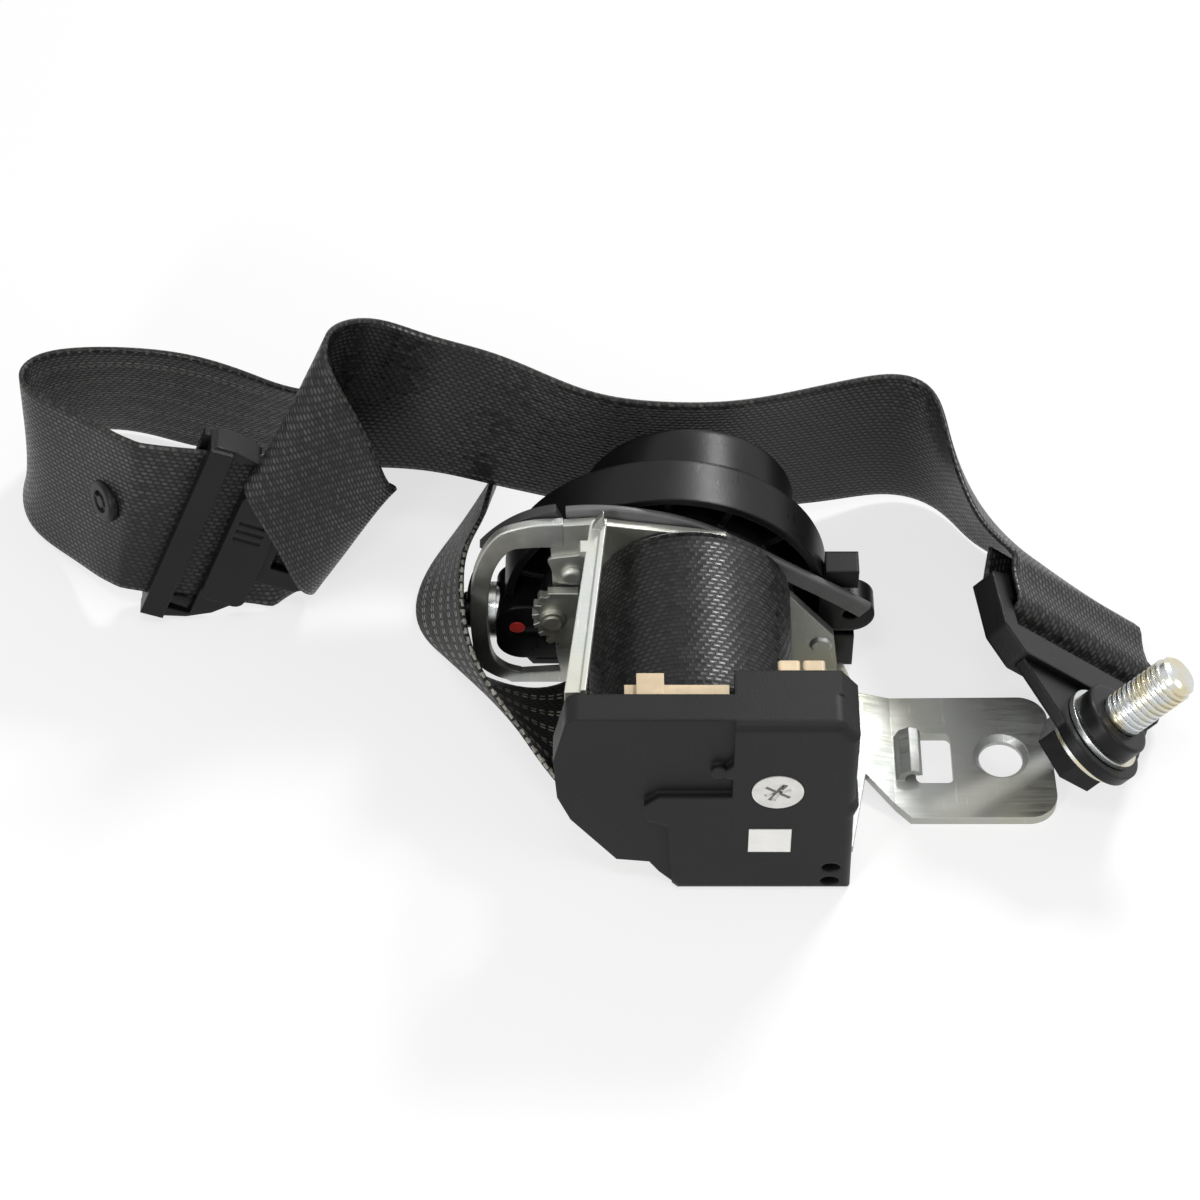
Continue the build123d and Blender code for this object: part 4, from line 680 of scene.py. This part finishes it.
row_low, row_high, row_held, strip_length = rule_rows()
strip = refine(refine(relax(row_low, row_high, row_held), 2, axis=0), 2, axis=1)
webbing = strip_object("belt_webbing", strip, THICK, distances(gaps(strip).mean(1)), WIDTH)
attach(webbing, "retractor")
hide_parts("webbing_exit", "webbing_fold", "webbing_rise", "webbing_back",
            "webbing_loop", "webbing_tongue_run", "webbing_curl_face", "webbing_curl_back",
            "webbing_run", "webbing_turn", "webbing_anchor_end")


# Webbing wound on the spool, from the core out to where it leaves at the bottom
AXLE_X, AXLE_Z = -75.4, 35.0
CORE_R, OUTER_R = 9.6, 23.85
ROLL_EDGES = (22.35, -24.35)
ROLL_WIDTH = 46.7
ROLL_THICK = 1.1
ROLL_COLUMNS = 17
TURN_ROWS = 60
SHIFT, SHIFTS = 0.28, 40  # the layers wander sideways by up to a share of this, so many times
SHIFT_SHARE = 0.6
SHIFT_END = 12  # the last rows, which come back into line
turns = (OUTER_R - CORE_R) / THICK
rows = int(turns * TURN_ROWS) + 1
angle = np.linspace(-2 * math.pi * turns, 0.0, rows)
chance = np.random.default_rng(7)
shift = np.interp(angle, np.linspace(angle[0], 0, SHIFTS), chance.uniform(-SHIFT, SHIFT, SHIFTS))
shift[-SHIFT_END:] = np.linspace(shift[-SHIFT_END - 1], 0.0, SHIFT_END)
radius = OUTER_R + angle / (2 * math.pi) * THICK
centre = np.stack([AXLE_X - radius * np.sin(angle), np.zeros(rows),
                   AXLE_Z - radius * np.cos(angle)], axis=1)
depth = np.linspace(*ROLL_EDGES, ROLL_COLUMNS)
wound = np.repeat(centre[:, None, :], len(depth), axis=1)
wound[..., 1] = depth[None, :] + shift[:, None] * SHIFT_SHARE
travel = distances(gaps(centre))
roll = strip_object("wound_webbing", wound, ROLL_THICK, travel, ROLL_WIDTH)
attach(roll, "spool")
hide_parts("webbing_roll")


# Smooth sheet-metal hoop over the left end of the rear side plate, from given points
HOOP_OUT = [(-116.0, 0.3), (-121.5, 2.2), (-126.0, 7.0), (-127.3, 16.0), (-127.4, 30.0),
            (-125.8, 43.2), (-120.6, 54.5), (-113.2, 58.1), (-105.0, 59.0)]
HOOP_IN = [(-115.6, 3.9), (-118.9, 5.4), (-121.9, 9.0), (-123.1, 16.0), (-123.1, 30.0),
           (-121.5, 41.8), (-117.5, 49.2), (-112.5, 50.4), (-105.0, 50.5)]
HOOP_Y = (24.44, 26.76)  # a little proud of the plate on both faces
HOOP_SOFT = 0.25
HOOP_STEPS = 72


def hoop_object(name, front, rear):
    rails = []
    for points in (np.array(HOOP_OUT), np.array(HOOP_IN)):
        knots = distances(gaps(points))
        rails.append(smooth_line(points, knots, np.linspace(0, knots[-1], HOOP_STEPS)))
    out_rail, in_rail = rails
    inward = in_rail - out_rail
    inward /= np.linalg.norm(inward, axis=1)[:, None]
    corners = [(front, HOOP_SOFT), (front + HOOP_SOFT, 0.0), (rear - HOOP_SOFT, 0.0),
               (rear, HOOP_SOFT)]
    ring = []
    for rail, way, order in ((out_rail, inward, corners), (in_rail, -inward, corners[::-1])):
        for y, soft in order:
            x, z = (rail + soft * way).T
            ring.append(np.stack([x, np.full(HOOP_STEPS, y), z], axis=1))
    ring = np.stack(ring, axis=1)
    count = ring.shape[1]
    faces = []
    for r in range(HOOP_STEPS - 1):
        for c in range(count):
            n = (c + 1) % count
            faces.append((r * count + c, r * count + n, (r + 1) * count + n, (r + 1) * count + c))
    last = (HOOP_STEPS - 1) * count
    faces += [tuple(range(count))[::-1], tuple(range(last, last + count))]
    return mesh_object(name, ring, faces, finish["zinc_steel"])


hoop = hoop_object("rear_hoop", *HOOP_Y)
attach(hoop, "retractor")


# Soft-edged copy of the tongue's moulded grip
SOFT_EDGE = 0.0016
SHARP = 0.6  # edges that turn by more than this many radians are rounded
grip_mesh = nodes["tongue_body"].data.copy()
grip_mesh.name = "tongue_grip"
shape = bmesh.new()
shape.from_mesh(grip_mesh)
bmesh.ops.remove_doubles(shape, verts=shape.verts, dist=0.000002)
bmesh.ops.dissolve_limit(shape, angle_limit=0.01, verts=shape.verts, edges=shape.edges)
edges = [e for e in shape.edges if len(e.link_faces) == 2 and e.calc_face_angle(0.0) > SHARP]
bmesh.ops.bevel(shape, geom=edges, offset=SOFT_EDGE, offset_type="OFFSET", segments=3,
                profile=0.5, affect="EDGES", clamp_overlap=True)
for face in shape.faces:
    face.smooth = True
shape.to_mesh(grip_mesh)
shape.free()
grip_mesh.materials.clear()
grip_mesh.materials.append(finish["black_plastic"])
grip = add_object("tongue_grip", grip_mesh)
grip.modifiers.new("even", "WEIGHTED_NORMAL").keep_sharp = False
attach(grip, "tongue")
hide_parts("tongue_body")


# Floor, world and lights
WHITE = (1.0, 1.0, 1.0, 1.0)
FLOOR_HALF = 3000.0  # half a side of the floor, in millimetres
FLOOR_WHITE = 0.70  # share of plain white where the floor is seen
WORLD_LIGHT = 0.40

ground = Shader("floor", spec=0.2)
ground.set("Base Color", ground.mix(ground.noise(9.0, 2.0), (0.89, 0.89, 0.885),
                                    (0.91, 0.91, 0.905)))
ground.set("Roughness", 0.85)
glow = ground.node("ShaderNodeEmission", [("Color", WHITE), ("Strength", 1.0)]).outputs[0]
ground.put(ground.out.inputs["Surface"], ground.blend(
    ground.times(ground.direct(), FLOOR_WHITE), ground.bsdf.outputs[0], glow))
corners = np.array([(-1, -1, 0), (1, -1, 0), (1, 1, 0), (-1, 1, 0)]) * FLOOR_HALF
floor = mesh_object("floor", corners, [(0, 1, 2, 3)], ground.mat)

world = bpy.data.worlds.new("world")
scene.world = world
world.use_nodes = True
sky = Tree(world.node_tree)
lit = sky.node("ShaderNodeBackground", [("Color", WHITE), ("Strength", WORLD_LIGHT)])
seen = sky.node("ShaderNodeBackground", [("Color", WHITE), ("Strength", 1.0)])
both = sky.blend(sky.direct(), lit.outputs[0], seen.outputs[0])
sky.node("ShaderNodeOutputWorld", [("Surface", both)])

# Name, place, target, size and watts
SOFTBOXES = [
    ("key", (0.26, 0.50, 0.62), (-0.08, 0.03, 0.03), (0.17, 0.13), 4.6),
    ("top", (-0.18, -0.30, 0.92), (-0.09, 0.02, 0.02), (0.30, 0.12), 1.6),
    ("front", (-0.48, -0.62, 0.36), (-0.12, 0.05, 0.03), (0.12, 0.22), 2.4),
    ("right", (0.52, -0.34, 0.46), (-0.05, 0.04, 0.03), (0.20, 0.26), 0.9),
]
for name, place, target, size, watts in SOFTBOXES:
    lamp_data = bpy.data.lights.new(name, "AREA")
    lamp_data.shape = "RECTANGLE"
    lamp_data.size, lamp_data.size_y = size
    lamp_data.energy = watts
    aim(add_object(name, lamp_data), place, target)
